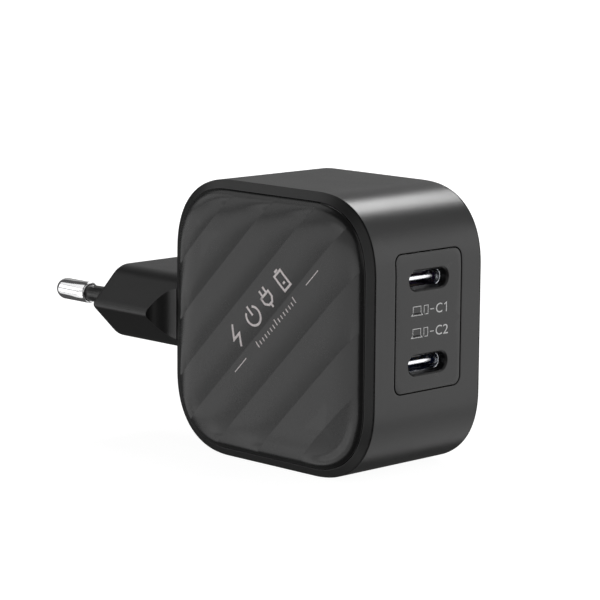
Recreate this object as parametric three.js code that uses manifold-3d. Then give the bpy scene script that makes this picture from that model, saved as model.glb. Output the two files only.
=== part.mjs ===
// Two-port USB-C wall charger with a fixed Europlug, in millimetres, +Z up.
//
// The origin is the centre of the plug's engagement face, and +Y points into the wall socket. The square
// housing hangs behind the plug on -Y, its ports look along -Y and its wavy covers look along -X and +X.

import * as THREE from 'three';
import { mergeVertices } from 'three/addons/utils/BufferGeometryUtils.js';
import { LoftGeometry } from 'three/addons/geometries/LoftGeometry.js';
import Module from 'manifold-3d';

const wasm = await Module();
wasm.setup();

// ---------------------------------------------------------------- driving dimensions

const SEAM = 0.3; // clearance between pieces that sit against each other
const SLIVER = 0.001; // keeps the half-round ends of a slot from meeting in a point

// Housing: a square tube along X with rounded corners
const BODY_DEPTH = 50; // along Y, from the port face to the plug's side
const BODY_HEIGHT = 50; // along Z
const SHELL_WIDTH = 26.2; // along X, between the tube's two open ends
const CORNER_RADIUS = 14.3;
const CORNER_POWER = 2.33; // 2 gives a round corner, more gives a squarer one
const CORNER_STEPS = 10;
const SHELL_WALL = 2;
const REBATE_DEPTH = 1.5; // step inside each open end that the bezel drops into
const REBATE_LIP = 0.8; // wall left outside that step

// Bezels: bevelled trim rings that close the tube's ends
const BEZEL_WIDTH = 1.56;
const BEZEL_RISE = 0.75;
const LEDGE_THICKNESS = 0.8; // inner shelf that carries the cover
const LEDGE_REACH = 1.84;

// Covers: pillows with diagonal waves
const COVER_SINK = 0.05; // how far the cover's edge lies below the bezel
const COVER_CROWN = 1.85; // rise of the pillow over its edge
const COVER_SHOULDER = 5.5; // width over which it rises
const COVER_RECESS = 1.2; // depth of the hollow in the cover's back
const SHOULDER_STEPS = 6;
const WAVE_COUNT = 7;
const WAVE_PITCH = 7.3;
const WAVE_STEP = 0.6; // how far each wave sinks before the next line
const WAVE_TRIM = 0.12; // crests of the waves below the pillow's crown
const WAVE_SEGMENTS = 4;

// Port insert, flush in the front wall, and the two receptacles in it
const INSERT_WIDTH = 16.4;
const INSERT_HEIGHT = 24.2;
const INSERT_LIFT = 2.8; // centre of the insert above the centre of the body
const INSERT_RADIUS = 1.5;
const FLANGE_REACH = 1.6; // overlap of a retaining flange behind the wall
const FLANGE_THICKNESS = 1.2;
const PORT_SPACING = 14.8;
const PORT_LIFT = -0.1; // middle between the ports, above the centre of the insert
const RECEPTACLE_WIDTH = 8.94; // outside of the metal shell
const RECEPTACLE_HEIGHT = 3.16;
const PORT_SIDE_GAP = 0.3; // between the metal shell and the insert's hole, at its ends
const PORT_EDGE_GAP = 0.145; // and along its long sides
const RECEPTACLE_WALL = 0.3;
const RECEPTACLE_DEPTH = 7.3;
const RECEPTACLE_SINK = 0.8; // shell mouth behind the port face
const TONGUE_WIDTH = 6.65;
const TONGUE_THICKNESS = 0.7;
const TONGUE_BASE_DEPTH = 2;

// Plug boss: the hexagonal body of a Europlug
const BOSS_LENGTH = 18.7; // from the housing's face to the engagement face
const BOSS_WIDTH = 36; // between the sharp side ridges, before they are rounded
const BOSS_HEIGHT = 13.7;
const BOSS_NOSE_RADIUS = 0.85;
const BOSS_EDGE_RADIUS = 5;
const COVE_START = 0.4; // where the coves that narrow the boss to the housing's width begin, behind its face
const BOSS_LIFT = -0.9; // plug axis above the centre of the body
const NECK_MARGIN = 1; // neck inside the housing's window, beyond the pins' axes
const NECK_HEIGHT = 10.4;

// Pins of the Europlug
const PIN_SPACING = 19;
const PIN_LENGTH = 19;
const PIN_DIAMETER = 4;
const TIP_STEPS = 6; // facets of the round tip
const PIN_SHOULDER = 0.35; // bevel where the thick metal end meets the sleeve
const SHANK_DIAMETER = 2; // thin part inside the sleeve
const SLEEVE_LENGTH = 10;
const SLEEVE_TIP_DIAMETER = 3.1;
const SLEEVE_ROOT_DIAMETER = 3.4;
const SLEEVE_DEPTH = 4; // part of the sleeve inside the boss
const CARRIER_MARGIN = 2.5; // beyond the pins' axes
const CARRIER_HEIGHT = 8;
const CARRIER_DEPTH = 1.6;
const PIN_TAIL = 0.8; // shank beyond the carrier
const WIRE_DIAMETER = 1.2;
const LEAD_DROP = 6.6; // how far above or below the pins the leads meet the board

// Electronics
const BOARD_THICKNESS = 1.6;
const SOLDER_SIDE_ROOM = 2.6; // height left for the chips behind the main board
const BOARD_INSET = 4;
const PORT_BOARD_WIDTH = 17;
const PORT_BOARD_MARGIN = 3; // above and below the receptacles
const PORT_BOARD_THICKNESS = 1.2;
const SPREADER_THICKNESS = 0.6;
const SPREADER_INSET = 4.6;
const SHEET_THICKNESS = 0.3;
const SOLDER_GAP = 0.3; // component above its board
const CORE_LENGTH = 19;
const CORE_DEPTH = 8;
const CORE_HEIGHT = 13;
const CORE_BACK = 2.3;
const CORE_LEG = 4.8;
const TRANSFORMER_SHIFT = -0.5; // along the board, away from the plug
const BOBBIN_WALL = 0.6;
const BOBBIN_DEPTH = 16;
const WINDING_BUILD = 2.6;
const BULK_DIAMETER = 9;
const BULK_LENGTH = 19;
const OUTPUT_DIAMETER = 5.2;
const OUTPUT_HEIGHT = 9;
const CHOKE_RADIUS = 3.2;
const CHOKE_CORE_RADIUS = 1.1;
const CHOKE_WIRE_BUILD = 0.6;
const CHOKE_ARC = 2.5; // radians covered by each half winding
const FILTER_WIDTH = 5.6;
const FILTER_HEIGHT = 12.4;
const FILTER_DEPTH = 9.5;
const FUSE_DIAMETER = 5.6;
const FUSE_LENGTH = 7;
const THERMISTOR_RADIUS = 3.2;
const THERMISTOR_THICKNESS = 3;
const MOULDING_RADIUS = 0.6; // corners of moulded components
const CHIP_RADIUS = 0.4;
const INDUCTOR_WIDTH = 4.4;
const INDUCTOR_DEPTH = 3;
const INDUCTOR_HEIGHT = 6.4;

// ---------------------------------------------------------------- derived dimensions

const halfShell = SHELL_WIDTH / 2;
const bezelBase = halfShell + SEAM;
const bezelTop = bezelBase + BEZEL_RISE;
const spigotEnd = halfShell - REBATE_DEPTH + SEAM;
const ledgeTop = spigotEnd + LEDGE_THICKNESS;
const ledgeInset = BEZEL_WIDTH + LEDGE_REACH;
const coverBack = ledgeTop + SEAM;
const coverInset = BEZEL_WIDTH + SEAM;
const coverEdge = bezelTop - COVER_SINK;
const wallInside = SHELL_WALL + SEAM; // inset of what stands right behind the wall
const flangeInset = wallInside + FLANGE_THICKNESS;
const portWidth = RECEPTACLE_WIDTH + 2 * PORT_SIDE_GAP;
const portHeight = RECEPTACLE_HEIGHT + 2 * PORT_EDGE_GAP;
const neckWidth = PIN_SPACING + 2 * NECK_MARGIN;
const coveRadius = BOSS_WIDTH / 2 - bezelBase;
const beyond = 1; // overshoot of cutting shapes

const bodyFront = -BODY_DEPTH / 2;
const bodyBack = BODY_DEPTH / 2;
const receptacleFront = bodyFront + RECEPTACLE_SINK;
const portBoardFront = receptacleFront + RECEPTACLE_DEPTH + SEAM;
const portBoardBack = portBoardFront + PORT_BOARD_THICKNESS;
const carrierOuter = bodyBack - flangeInset - SEAM;
const carrierInner = carrierOuter - CARRIER_DEPTH;
const pinTailEnd = carrierInner - PIN_TAIL;
const wirePlane = pinTailEnd - SEAM - WIRE_DIAMETER / 2;
const boardFront = portBoardBack + SEAM;
const leadClear = wirePlane - WIRE_DIAMETER / 2 - SEAM; // what ends here leaves room for the leads
const spreaderOuter = spigotEnd - SEAM;
const sheetOuter = spreaderOuter - SPREADER_THICKNESS - SEAM;
const boardBack = sheetOuter - SHEET_THICKNESS - SOLDER_SIDE_ROOM;
const boardFace = boardBack - BOARD_THICKNESS;

// ---------------------------------------------------------------- solids and shapes

// Closed three.js geometry as a manifold solid: only positions count, and equal ones become one vertex.
function solid(geometry) {
  const bare = new THREE.BufferGeometry();
  bare.setAttribute('position', geometry.attributes.position);
  bare.setIndex(geometry.index);
  const merged = mergeVertices(bare, 1e-4);
  const corners = merged.index.array;
  const kept = [];
  for (let i = 0; i < corners.length; i += 3) {
    const [a, b, c] = [corners[i], corners[i + 1], corners[i + 2]];
    if (a !== b && b !== c && c !== a) kept.push(a, b, c);
  }
  const vertProperties = Float32Array.from(merged.attributes.position.array);
  return new wasm.Manifold(new wasm.Mesh({ numProp: 3, vertProperties, triVerts: Uint32Array.from(kept) }));
}

// Manifold solid back to a three.js geometry.
function surface(body) {
  const { vertProperties, triVerts } = body.getMesh();
  const geometry = new THREE.BufferGeometry();
  geometry.setAttribute('position', new THREE.BufferAttribute(vertProperties, 3));
  geometry.setIndex(new THREE.BufferAttribute(triVerts, 1));
  geometry.computeVertexNormals();
  return geometry;
}

// Extrusion of a 2D shape whose local x, y and z run along the given directions, starting at `start`.
function extrude(shape, depth, xAxis, yAxis, start, curveSegments = 4) {
  const geometry = new THREE.ExtrudeGeometry(shape, { depth, bevelEnabled: false, curveSegments });
  const zAxis = new THREE.Vector3().crossVectors(xAxis, yAxis);
  const place = new THREE.Matrix4().makeBasis(xAxis, yAxis, zAxis);
  geometry.applyMatrix4(place);
  return geometry.translate(start.x, start.y, start.z);
}

const X = new THREE.Vector3(1, 0, 0);
const Y = new THREE.Vector3(0, 1, 0);
const Z = new THREE.Vector3(0, 0, 1);

// Shape in the XZ plane, extruded along Y from y0 to y1.
function alongY(shape, y0, y1, curveSegments) {
  return extrude(shape, y1 - y0, X, Z, new THREE.Vector3(0, y1, 0), curveSegments);
}

// Shape in the XY plane, extruded along Z from z0 to z1.
function alongZ(shape, z0, z1, curveSegments) {
  return extrude(shape, z1 - z0, X, Y, new THREE.Vector3(0, 0, z0), curveSegments);
}

// Rectangle with round corners, centred on (cx, cy).
function roundedRectangle(width, height, radius, cx = 0, cy = 0) {
  const [w, h] = [width / 2, height / 2];
  const shape = new THREE.Shape();
  shape.absarc(cx + w - radius, cy - h + radius, radius, -Math.PI / 2, 0);
  shape.absarc(cx + w - radius, cy + h - radius, radius, 0, Math.PI / 2);
  shape.absarc(cx - w + radius, cy + h - radius, radius, Math.PI / 2, Math.PI);
  shape.absarc(cx - w + radius, cy - h + radius, radius, Math.PI, 1.5 * Math.PI);
  return shape;
}

function rectangle(width, height, cx = 0, cy = 0) {
  const [w, h] = [width / 2, height / 2];
  const corners = [[cx - w, cy - h], [cx + w, cy - h], [cx + w, cy + h], [cx - w, cy + h]];
  return new THREE.Shape(corners.map(([x, y]) => new THREE.Vector2(x, y)));
}

function circle(radius, cx = 0, cy = 0) {
  const shape = new THREE.Shape();
  shape.absarc(cx, cy, radius, 0, 2 * Math.PI);
  return shape;
}

// Polygon whose corners are rounded by arcs of the given radii.
function roundedPolygon(corners, radii) {
  const shape = new THREE.Shape();
  corners.forEach((corner, i) => {
    const before = corners[(i + corners.length - 1) % corners.length];
    const after = corners[(i + 1) % corners.length];
    const inward = before.clone().sub(corner).normalize();
    const outward = after.clone().sub(corner).normalize();
    const half = Math.acos(inward.dot(outward)) / 2;
    const bisector = inward.clone().add(outward).normalize();
    const centre = corner.clone().addScaledVector(bisector, radii[i] / Math.sin(half));
    const away = Math.atan2(-bisector.y, -bisector.x);
    const sweep = Math.PI / 2 - half;
    shape.absarc(centre.x, centre.y, radii[i], away - sweep, away + sweep);
  });
  return shape;
}

// Outline of the body in the YZ plane, counter-clockwise seen from +X and moved inwards by `inset`. Each
// corner is a quarter of the superellipse |a|^n + |b|^n = r^n.
function outline(inset) {
  const points = [];
  for (let corner = 0; corner < 4; corner += 1) {
    for (let step = 0; step <= CORNER_STEPS; step += 1) {
      const angle = (Math.PI / 2) * (step / CORNER_STEPS);
      const [c, s] = [Math.max(Math.cos(angle), 0), Math.sin(angle)];
      const point = new THREE.Vector2(c ** (2 / CORNER_POWER), s ** (2 / CORNER_POWER));
      const normal = new THREE.Vector2(c ** (2 - 2 / CORNER_POWER), s ** (2 - 2 / CORNER_POWER));
      point.multiplyScalar(CORNER_RADIUS).addScaledVector(normal.normalize(), -inset);
      const [along, across] = corner % 2 === 0 ? [BODY_DEPTH, BODY_HEIGHT] : [BODY_HEIGHT, BODY_DEPTH];
      point.x += along / 2 - CORNER_RADIUS;
      point.y += across / 2 - CORNER_RADIUS;
      points.push(point.rotateAround(new THREE.Vector2(), (corner * Math.PI) / 2));
    }
  }
  return points;
}

function section([x, inset]) {
  return outline(inset).map((point) => new THREE.Vector3(x, point.x, point.y));
}

// Solid skinned over a profile of [x, inset] pairs and closed by a flat cap at each end.
function capped(profile) {
  return solid(new LoftGeometry(profile.map(section), { capStart: true, capEnd: true }));
}

// Solid between two planes across X whose outline is the body's, moved inwards by `inset`.
function prism(x0, x1, inset) {
  return capped([[x0, inset], [x1, inset]]);
}

// Wall that follows the body's outline between two insets.
function wallRing(x0, x1, outerInset, innerInset) {
  return prism(x0, x1, outerInset).subtract(prism(x0 - beyond, x1 + beyond, innerInset));
}

// ---------------------------------------------------------------- scene helpers

const charger = new THREE.Group();
const housing = new THREE.Group();
housing.position.set(0, -BOSS_LENGTH - BODY_DEPTH / 2, -BOSS_LIFT);
charger.add(housing);

function add(group, name, shape, color, roughness, metalness = 0) {
  const geometry = shape instanceof THREE.BufferGeometry ? shape : surface(shape);
  const material = new THREE.MeshStandardMaterial({ color, roughness, metalness });
  const mesh = new THREE.Mesh(geometry, material);
  mesh.name = name;
  group.add(mesh);
  return mesh;
}

const BLACK = 0x232425;
const DARK = 0x191a1b;
const NICKEL = 0xc9c9cb;
const STEEL = 0xa9adb2;
const ALUMINIUM = 0xb4b8bc;
const FERRITE = 0x2b2c30;
const COPPER = 0xb36a35;
const BOARD_GREEN = 0x1f5b3a;
const PACKAGE = 0x1c1d1f;

// ---------------------------------------------------------------- housing

function bodyShell() {
  const tube = wallRing(-halfShell, halfShell, 0, SHELL_WALL);
  const rebateFloor = halfShell - REBATE_DEPTH;
  const window = roundedRectangle(
    INSERT_WIDTH + 2 * SEAM, INSERT_HEIGHT + 2 * SEAM, INSERT_RADIUS + SEAM, 0, INSERT_LIFT,
  );
  const plugWindow = rectangle(neckWidth + 2 * SEAM, NECK_HEIGHT + 2 * SEAM, 0, BOSS_LIFT);
  return tube
    .subtract(prism(rebateFloor, halfShell + beyond, REBATE_LIP))
    .subtract(prism(-halfShell - beyond, -rebateFloor, REBATE_LIP))
    .subtract(solid(alongY(window, bodyFront - beyond, bodyFront + CORNER_RADIUS)))
    .subtract(solid(alongY(plugWindow, bodyBack - CORNER_RADIUS, bodyBack + beyond)));
}
add(housing, 'body_shell', bodyShell(), BLACK, 0.5);

function bezel() {
  const spigotInset = REBATE_LIP + SEAM;
  const profile = [
    [bezelBase, 0], [bezelTop, BEZEL_WIDTH], [ledgeTop, BEZEL_WIDTH], [ledgeTop, ledgeInset],
    [spigotEnd, ledgeInset], [spigotEnd, spigotInset], [bezelBase, spigotInset], [bezelBase, 0],
  ];
  return solid(new LoftGeometry(profile.map(section)));
}

// Block whose top is a row of parallel waves: each starts high at a crisp line and sinks in a parabola by
// WAVE_STEP before the next line. It is extruded along the diagonal.
function waveBlock(top) {
  const span = WAVE_COUNT * WAVE_PITCH + BODY_DEPTH + BODY_HEIGHT;
  const first = (-(WAVE_COUNT - 1) / 2) * WAVE_PITCH;
  const points = [new THREE.Vector2(span / 2, top), new THREE.Vector2(span / 2, 0)];
  points.push(new THREE.Vector2(-span / 2, 0), new THREE.Vector2(-span / 2, top));
  points.push(new THREE.Vector2(first - WAVE_PITCH, top));
  for (let wave = -1; wave < WAVE_COUNT - 1; wave += 1) {
    for (let step = 0; step <= WAVE_SEGMENTS; step += 1) {
      const share = step / WAVE_SEGMENTS;
      const along = first + (wave + share) * WAVE_PITCH;
      if (step > 0 || wave >= 0) points.push(new THREE.Vector2(along, top - WAVE_STEP * share ** 2));
    }
  }
  points.push(new THREE.Vector2(first + (WAVE_COUNT - 1) * WAVE_PITCH, top));
  const across = new THREE.Vector3(0, -1, 1).normalize();
  const along = new THREE.Vector3().crossVectors(across, X);
  const start = along.clone().multiplyScalar(-span / 2);
  return solid(extrude(new THREE.Shape(points.reverse()), span, across, X, start));
}

// Pillow that rises from its edge in a quarter ellipse, trimmed by the waves and hollowed from behind.
function cover() {
  const profile = [[coverBack, coverInset]];
  for (let step = 0; step <= SHOULDER_STEPS; step += 1) {
    const angle = (Math.PI / 2) * (step / SHOULDER_STEPS);
    const rise = COVER_CROWN * Math.sin(angle);
    profile.push([coverEdge + rise, coverInset + COVER_SHOULDER * (1 - Math.cos(angle))]);
  }
  const recessInset = ledgeInset + 2 * SEAM;
  return capped(profile)
    .intersect(waveBlock(coverEdge + COVER_CROWN - WAVE_TRIM))
    .subtract(prism(coverBack - beyond, coverBack + COVER_RECESS, recessInset));
}

for (const [side, turn] of [['right', 0], ['left', Math.PI]]) {
  add(housing, `${side}_bezel`, bezel(), DARK, 0.4).rotation.y = turn;
  add(housing, `${side}_cover`, cover(), BLACK, 0.55).rotation.y = turn;
}

// ---------------------------------------------------------------- port insert and receptacles

const portHeights = [1, -1].map((side) => INSERT_LIFT + PORT_LIFT + (side * PORT_SPACING) / 2);

function portInsert() {
  const plate = solid(alongY(
    roundedRectangle(INSERT_WIDTH, INSERT_HEIGHT, INSERT_RADIUS, 0, INSERT_LIFT),
    bodyFront - beyond, bodyFront + CORNER_RADIUS,
  ));
  const flange = solid(alongY(
    roundedRectangle(
      INSERT_WIDTH + 2 * FLANGE_REACH, INSERT_HEIGHT + 2 * FLANGE_REACH, INSERT_RADIUS, 0, INSERT_LIFT,
    ),
    bodyFront - beyond, bodyFront + CORNER_RADIUS,
  ));
  let insert = plate.intersect(wallRing(-halfShell, halfShell, 0, flangeInset));
  insert = insert.add(flange.intersect(wallRing(-halfShell, halfShell, wallInside, flangeInset)));
  for (const height of portHeights) {
    const slot = roundedRectangle(portWidth, portHeight, portHeight / 2 - SLIVER, 0, height);
    insert = insert.subtract(solid(alongY(slot, bodyFront - beyond, bodyFront + CORNER_RADIUS)));
  }
  return insert;
}
add(housing, 'port_insert', portInsert(), BLACK, 0.5);

function receptacleShell() {
  const [w, h, wall] = [RECEPTACLE_WIDTH, RECEPTACLE_HEIGHT, RECEPTACLE_WALL];
  const shape = roundedRectangle(w, h, h / 2 - SLIVER);
  shape.holes.push(roundedRectangle(w - 2 * wall, h - 2 * wall, h / 2 - wall - SLIVER));
  return alongY(shape, receptacleFront, receptacleFront + RECEPTACLE_DEPTH);
}

function receptacleTongue() {
  const room = 2 * (RECEPTACLE_WALL + SEAM);
  const [w, h] = [RECEPTACLE_WIDTH - room, RECEPTACLE_HEIGHT - room];
  const back = receptacleFront + RECEPTACLE_DEPTH;
  const base = alongY(roundedRectangle(w, h, h / 2 - SLIVER), back - TONGUE_BASE_DEPTH, back);
  const tongue = alongY(
    roundedRectangle(TONGUE_WIDTH, TONGUE_THICKNESS, TONGUE_THICKNESS / 3),
    receptacleFront + RECEPTACLE_SINK, back - TONGUE_BASE_DEPTH / 2, 3,
  );
  return solid(base).add(solid(tongue));
}

portHeights.forEach((height, i) => {
  const place = ['upper', 'lower'][i];
  add(housing, `usb_shell_${place}`, receptacleShell(), STEEL, 0.25, 1).position.z = height;
  add(housing, `usb_tongue_${place}`, receptacleTongue(), 0x111214, 0.5).position.z = height;
});

// ---------------------------------------------------------------- plug

const plug = new THREE.Group();
charger.add(plug);

function plugBoss() {
  const [ridge, half] = [BOSS_WIDTH / 2, BOSS_HEIGHT / 2];
  const flat = ridge - half;
  const corners = [[flat, -half], [ridge, 0], [flat, half], [-flat, half], [-ridge, 0], [-flat, -half]];
  const hexagon = roundedPolygon(
    corners.map(([x, z]) => new THREE.Vector2(x, z)),
    corners.map(([, z]) => (z === 0 ? BOSS_NOSE_RADIUS : BOSS_EDGE_RADIUS)),
  );
  const root = -BOSS_LENGTH + SEAM;
  const flangeTop = -BOSS_LENGTH - wallInside;
  const flangeEnd = -BOSS_LENGTH - flangeInset;
  let boss = solid(alongY(hexagon, root, 0));
  for (const side of [-1, 1]) {
    const cove = circle(coveRadius, side * ridge, -BOSS_LENGTH - COVE_START);
    boss = boss.subtract(solid(alongZ(cove, -BOSS_HEIGHT, BOSS_HEIGHT, 20)));
  }
  boss = boss.add(solid(alongY(rectangle(neckWidth, NECK_HEIGHT), flangeEnd, root + beyond)));
  const flange = rectangle(neckWidth, NECK_HEIGHT + 2 * FLANGE_REACH);
  boss = boss.add(solid(alongY(flange, flangeEnd, flangeTop)));
  for (const side of [-1, 1]) {
    const bore = circle(SLEEVE_ROOT_DIAMETER / 2 + SEAM, (side * PIN_SPACING) / 2, 0);
    boss = boss.subtract(solid(alongY(bore, flangeEnd - beyond, beyond, 10)));
  }
  return boss;
}
add(plug, 'plug_boss', plugBoss(), BLACK, 0.5);

// Turned piece on the Y axis, from a profile of [radius, y] pairs.
function turned(profile, segments = 20) {
  return new THREE.LatheGeometry(profile.map(([r, y]) => new THREE.Vector2(r, y)), segments);
}

function pin() {
  const [metal, shank] = [PIN_DIAMETER / 2, SHANK_DIAMETER / 2];
  const metalStart = SLEEVE_LENGTH + SEAM;
  const tail = pinTailEnd - bodyBack - BOSS_LENGTH;
  const profile = [[0, tail], [shank, tail], [shank, metalStart]];
  profile.push([metal - PIN_SHOULDER, metalStart], [metal, metalStart + PIN_SHOULDER]);
  for (let step = 0; step <= TIP_STEPS; step += 1) {
    const angle = (Math.PI / 2) * (step / TIP_STEPS);
    const radius = step < TIP_STEPS ? metal * Math.cos(angle) : 0;
    profile.push([radius, PIN_LENGTH - metal + metal * Math.sin(angle)]);
  }
  return turned(profile);
}

function sleeve() {
  const bore = SHANK_DIAMETER / 2 + SEAM;
  const [root, tip] = [SLEEVE_ROOT_DIAMETER / 2, SLEEVE_TIP_DIAMETER / 2];
  return turned([[bore, -SLEEVE_DEPTH], [root, -SLEEVE_DEPTH], [root, 0], [tip, SLEEVE_LENGTH],
    [bore, SLEEVE_LENGTH], [bore, -SLEEVE_DEPTH]]);
}

for (const [side, name] of [[-1, 'left'], [1, 'right']]) {
  const pole = new THREE.Group();
  pole.position.x = (side * PIN_SPACING) / 2;
  plug.add(pole);
  add(pole, `pin_${name}`, pin(), NICKEL, 0.15, 1);
  add(pole, `sleeve_${name}`, sleeve(), DARK, 0.45);
}

function pinCarrier() {
  const block = rectangle(PIN_SPACING + 2 * CARRIER_MARGIN, CARRIER_HEIGHT, 0, BOSS_LIFT);
  for (const side of [-1, 1]) {
    block.holes.push(circle(SHANK_DIAMETER / 2 + SEAM, (side * PIN_SPACING) / 2, BOSS_LIFT));
  }
  return alongY(block, carrierInner, carrierOuter, 8);
}
add(housing, 'pin_carrier', pinCarrier(), 0xd8d4c8, 0.6);

// Lead in the plane between the pin tails and the main board's edge, from a tail to a pad at that edge.
function wire(points) {
  const path = new THREE.CatmullRomCurve3(points.map(([x, z]) => new THREE.Vector3(x, wirePlane, z)));
  const options = { steps: 14, bevelEnabled: false, extrudePath: path, curveSegments: 4 };
  return new THREE.ExtrudeGeometry(circle(WIRE_DIAMETER / 2), options);
}
const pinX = PIN_SPACING / 2;
const padX = boardFace + BOARD_THICKNESS / 2;
const [lowPad, highPad] = [BOSS_LIFT - LEAD_DROP, BOSS_LIFT + LEAD_DROP];
add(housing, 'line_wire', wire([
  [-pinX, BOSS_LIFT], [-pinX + 0.4, BOSS_LIFT - LEAD_DROP / 3], [-pinX / 2, lowPad + 1], [padX / 2, lowPad],
  [padX, lowPad],
]), 0x6b3d22, 0.6);
add(housing, 'neutral_wire', wire([
  [pinX, BOSS_LIFT], [pinX, BOSS_LIFT + LEAD_DROP / 3], [padX, highPad - 1], [padX, highPad],
]), 0x2d5c9e, 0.6);

// ---------------------------------------------------------------- boards

// Flat piece across X with the body's outline, cut off square at two places along Y.
function panel(x0, x1, inset, y0, y1) {
  const kept = rectangle(2 * SHELL_WIDTH, y1 - y0, 0, (y0 + y1) / 2);
  return prism(x0, x1, inset).intersect(solid(alongZ(kept, -BODY_HEIGHT, BODY_HEIGHT)));
}
const mainBoard = panel(boardFace, boardBack, BOARD_INSET, boardFront, leadClear);
add(housing, 'main_board', mainBoard, BOARD_GREEN, 0.5);

const portBoardHeight = PORT_SPACING + RECEPTACLE_HEIGHT + 2 * PORT_BOARD_MARGIN;
const portBoard = roundedRectangle(PORT_BOARD_WIDTH, portBoardHeight, 1, 0, INSERT_LIFT + PORT_LIFT);
add(housing, 'port_board', alongY(portBoard, portBoardFront, portBoardBack), BOARD_GREEN, 0.5);

// Component side: x towards the ports, y up, z off the board towards -X.
const components = new THREE.Group();
components.position.x = boardFace;
components.quaternion.setFromRotationMatrix(
  new THREE.Matrix4().makeBasis(Y.clone().negate(), Z, X.clone().negate()),
);
housing.add(components);

// Solder side: x towards the plug, y up, z off the board towards +X.
const solderSide = new THREE.Group();
solderSide.position.x = boardBack;
solderSide.quaternion.setFromRotationMatrix(new THREE.Matrix4().makeBasis(Y, Z, X));
housing.add(solderSide);

// ---------------------------------------------------------------- transformer

const windowHeight = CORE_HEIGHT - SEAM - 2 * CORE_BACK;
const bobbinHeight = windowHeight - 2 * SEAM;
const bobbinLow = SOLDER_GAP + CORE_BACK + SEAM;
const tubeWidth = CORE_LEG + 2 * (SEAM + BOBBIN_WALL);
const tubeDepth = CORE_DEPTH + 2 * (SEAM + BOBBIN_WALL);

// E-shaped half core: a back with two outer legs and a centre leg, its open side up.
function coreHalf() {
  const [w, leg] = [CORE_LENGTH / 2, CORE_LEG / 2];
  const height = (CORE_HEIGHT - SEAM) / 2;
  const outer = w - CORE_BACK;
  const points = [
    [-w, 0], [w, 0], [w, height], [outer, height], [outer, CORE_BACK], [leg, CORE_BACK], [leg, height],
    [-leg, height], [-leg, CORE_BACK], [-outer, CORE_BACK], [-outer, height], [-w, height],
  ];
  const shape = new THREE.Shape(points.map(([x, y]) => new THREE.Vector2(x, y)));
  return alongY(shape, -CORE_DEPTH / 2, CORE_DEPTH / 2);
}

function bobbin() {
  const flange = rectangle(CORE_LENGTH - 2 * CORE_BACK - 2 * SEAM, BOBBIN_DEPTH);
  const bore = rectangle(CORE_LEG + 2 * SEAM, CORE_DEPTH + 2 * SEAM);
  const hole = solid(alongZ(bore, -beyond, bobbinHeight + beyond));
  return solid(alongZ(flange, 0, BOBBIN_WALL))
    .add(solid(alongZ(flange, bobbinHeight - BOBBIN_WALL, bobbinHeight)))
    .add(solid(alongZ(rectangle(tubeWidth, tubeDepth), 0, bobbinHeight)))
    .subtract(hole);
}

function winding() {
  const [w, d] = [tubeWidth + 2 * SEAM, tubeDepth + 2 * SEAM];
  const shape = roundedRectangle(w + 2 * WINDING_BUILD, d + 2 * WINDING_BUILD, WINDING_BUILD);
  shape.holes.push(rectangle(w, d));
  return alongZ(shape, BOBBIN_WALL + SEAM, bobbinHeight - BOBBIN_WALL - SEAM, 4);
}

// The transformer and the two bulk capacitors below it form a column that is centred on the board.
const columnTop = (BOBBIN_DEPTH + 2 * (BULK_DIAMETER + SEAM)) / 2;
const transformer = new THREE.Group();
transformer.position.set(TRANSFORMER_SHIFT, columnTop - BOBBIN_DEPTH / 2, 0);
components.add(transformer);
add(transformer, 'transformer_core_lower', coreHalf(), FERRITE, 0.7).position.z = SOLDER_GAP;
const upperCore = add(transformer, 'transformer_core_upper', coreHalf(), FERRITE, 0.7);
upperCore.position.z = SOLDER_GAP + CORE_HEIGHT;
upperCore.rotation.y = Math.PI;
add(transformer, 'transformer_bobbin', bobbin(), 0x262019, 0.5).position.z = bobbinLow;
add(transformer, 'transformer_winding', winding(), 0xd0a92c, 0.4).position.z = bobbinLow;

// ---------------------------------------------------------------- component side

// Capacitor can that stands on z = 0: a rolled bead near its base and a bevelled top.
function can(diameter, length) {
  const r = diameter / 2;
  const bead = Math.min(0.4, r / 5);
  return turned([
    [0, 0], [r - bead, 0], [r, bead], [r, 3 * bead], [r - bead, 4 * bead], [r, 5 * bead],
    [r, length - bead], [r - bead, length], [0, length],
  ], 16).rotateX(Math.PI / 2);
}

const bulkUpperY = transformer.position.y - BOBBIN_DEPTH / 2 - SEAM - BULK_DIAMETER / 2;
const bulkLowerY = bulkUpperY - BULK_DIAMETER - SEAM;
[['upper', bulkUpperY], ['lower', bulkLowerY]].forEach(([place, y]) => {
  const bulk = add(components, `bulk_capacitor_${place}`, can(BULK_DIAMETER, BULK_LENGTH), 0x20262b, 0.35);
  bulk.position.set(-BULK_LENGTH / 2, y, SOLDER_GAP + BULK_DIAMETER / 2);
  bulk.rotation.y = Math.PI / 2;
});

const outputX = transformer.position.x + CORE_LENGTH / 2 + SEAM + OUTPUT_DIAMETER / 2;
[['upper', 1], ['lower', -1]].forEach(([place, side]) => {
  const shape = can(OUTPUT_DIAMETER, OUTPUT_HEIGHT);
  const output = add(components, `output_capacitor_${place}`, shape, ALUMINIUM, 0.3, 1);
  output.position.set(outputX, transformer.position.y + side * (OUTPUT_DIAMETER / 2 + SEAM), SOLDER_GAP);
});

function block(width, height, depth, bevel) {
  return alongZ(roundedRectangle(width, height, bevel), 0, depth, 3);
}

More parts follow.
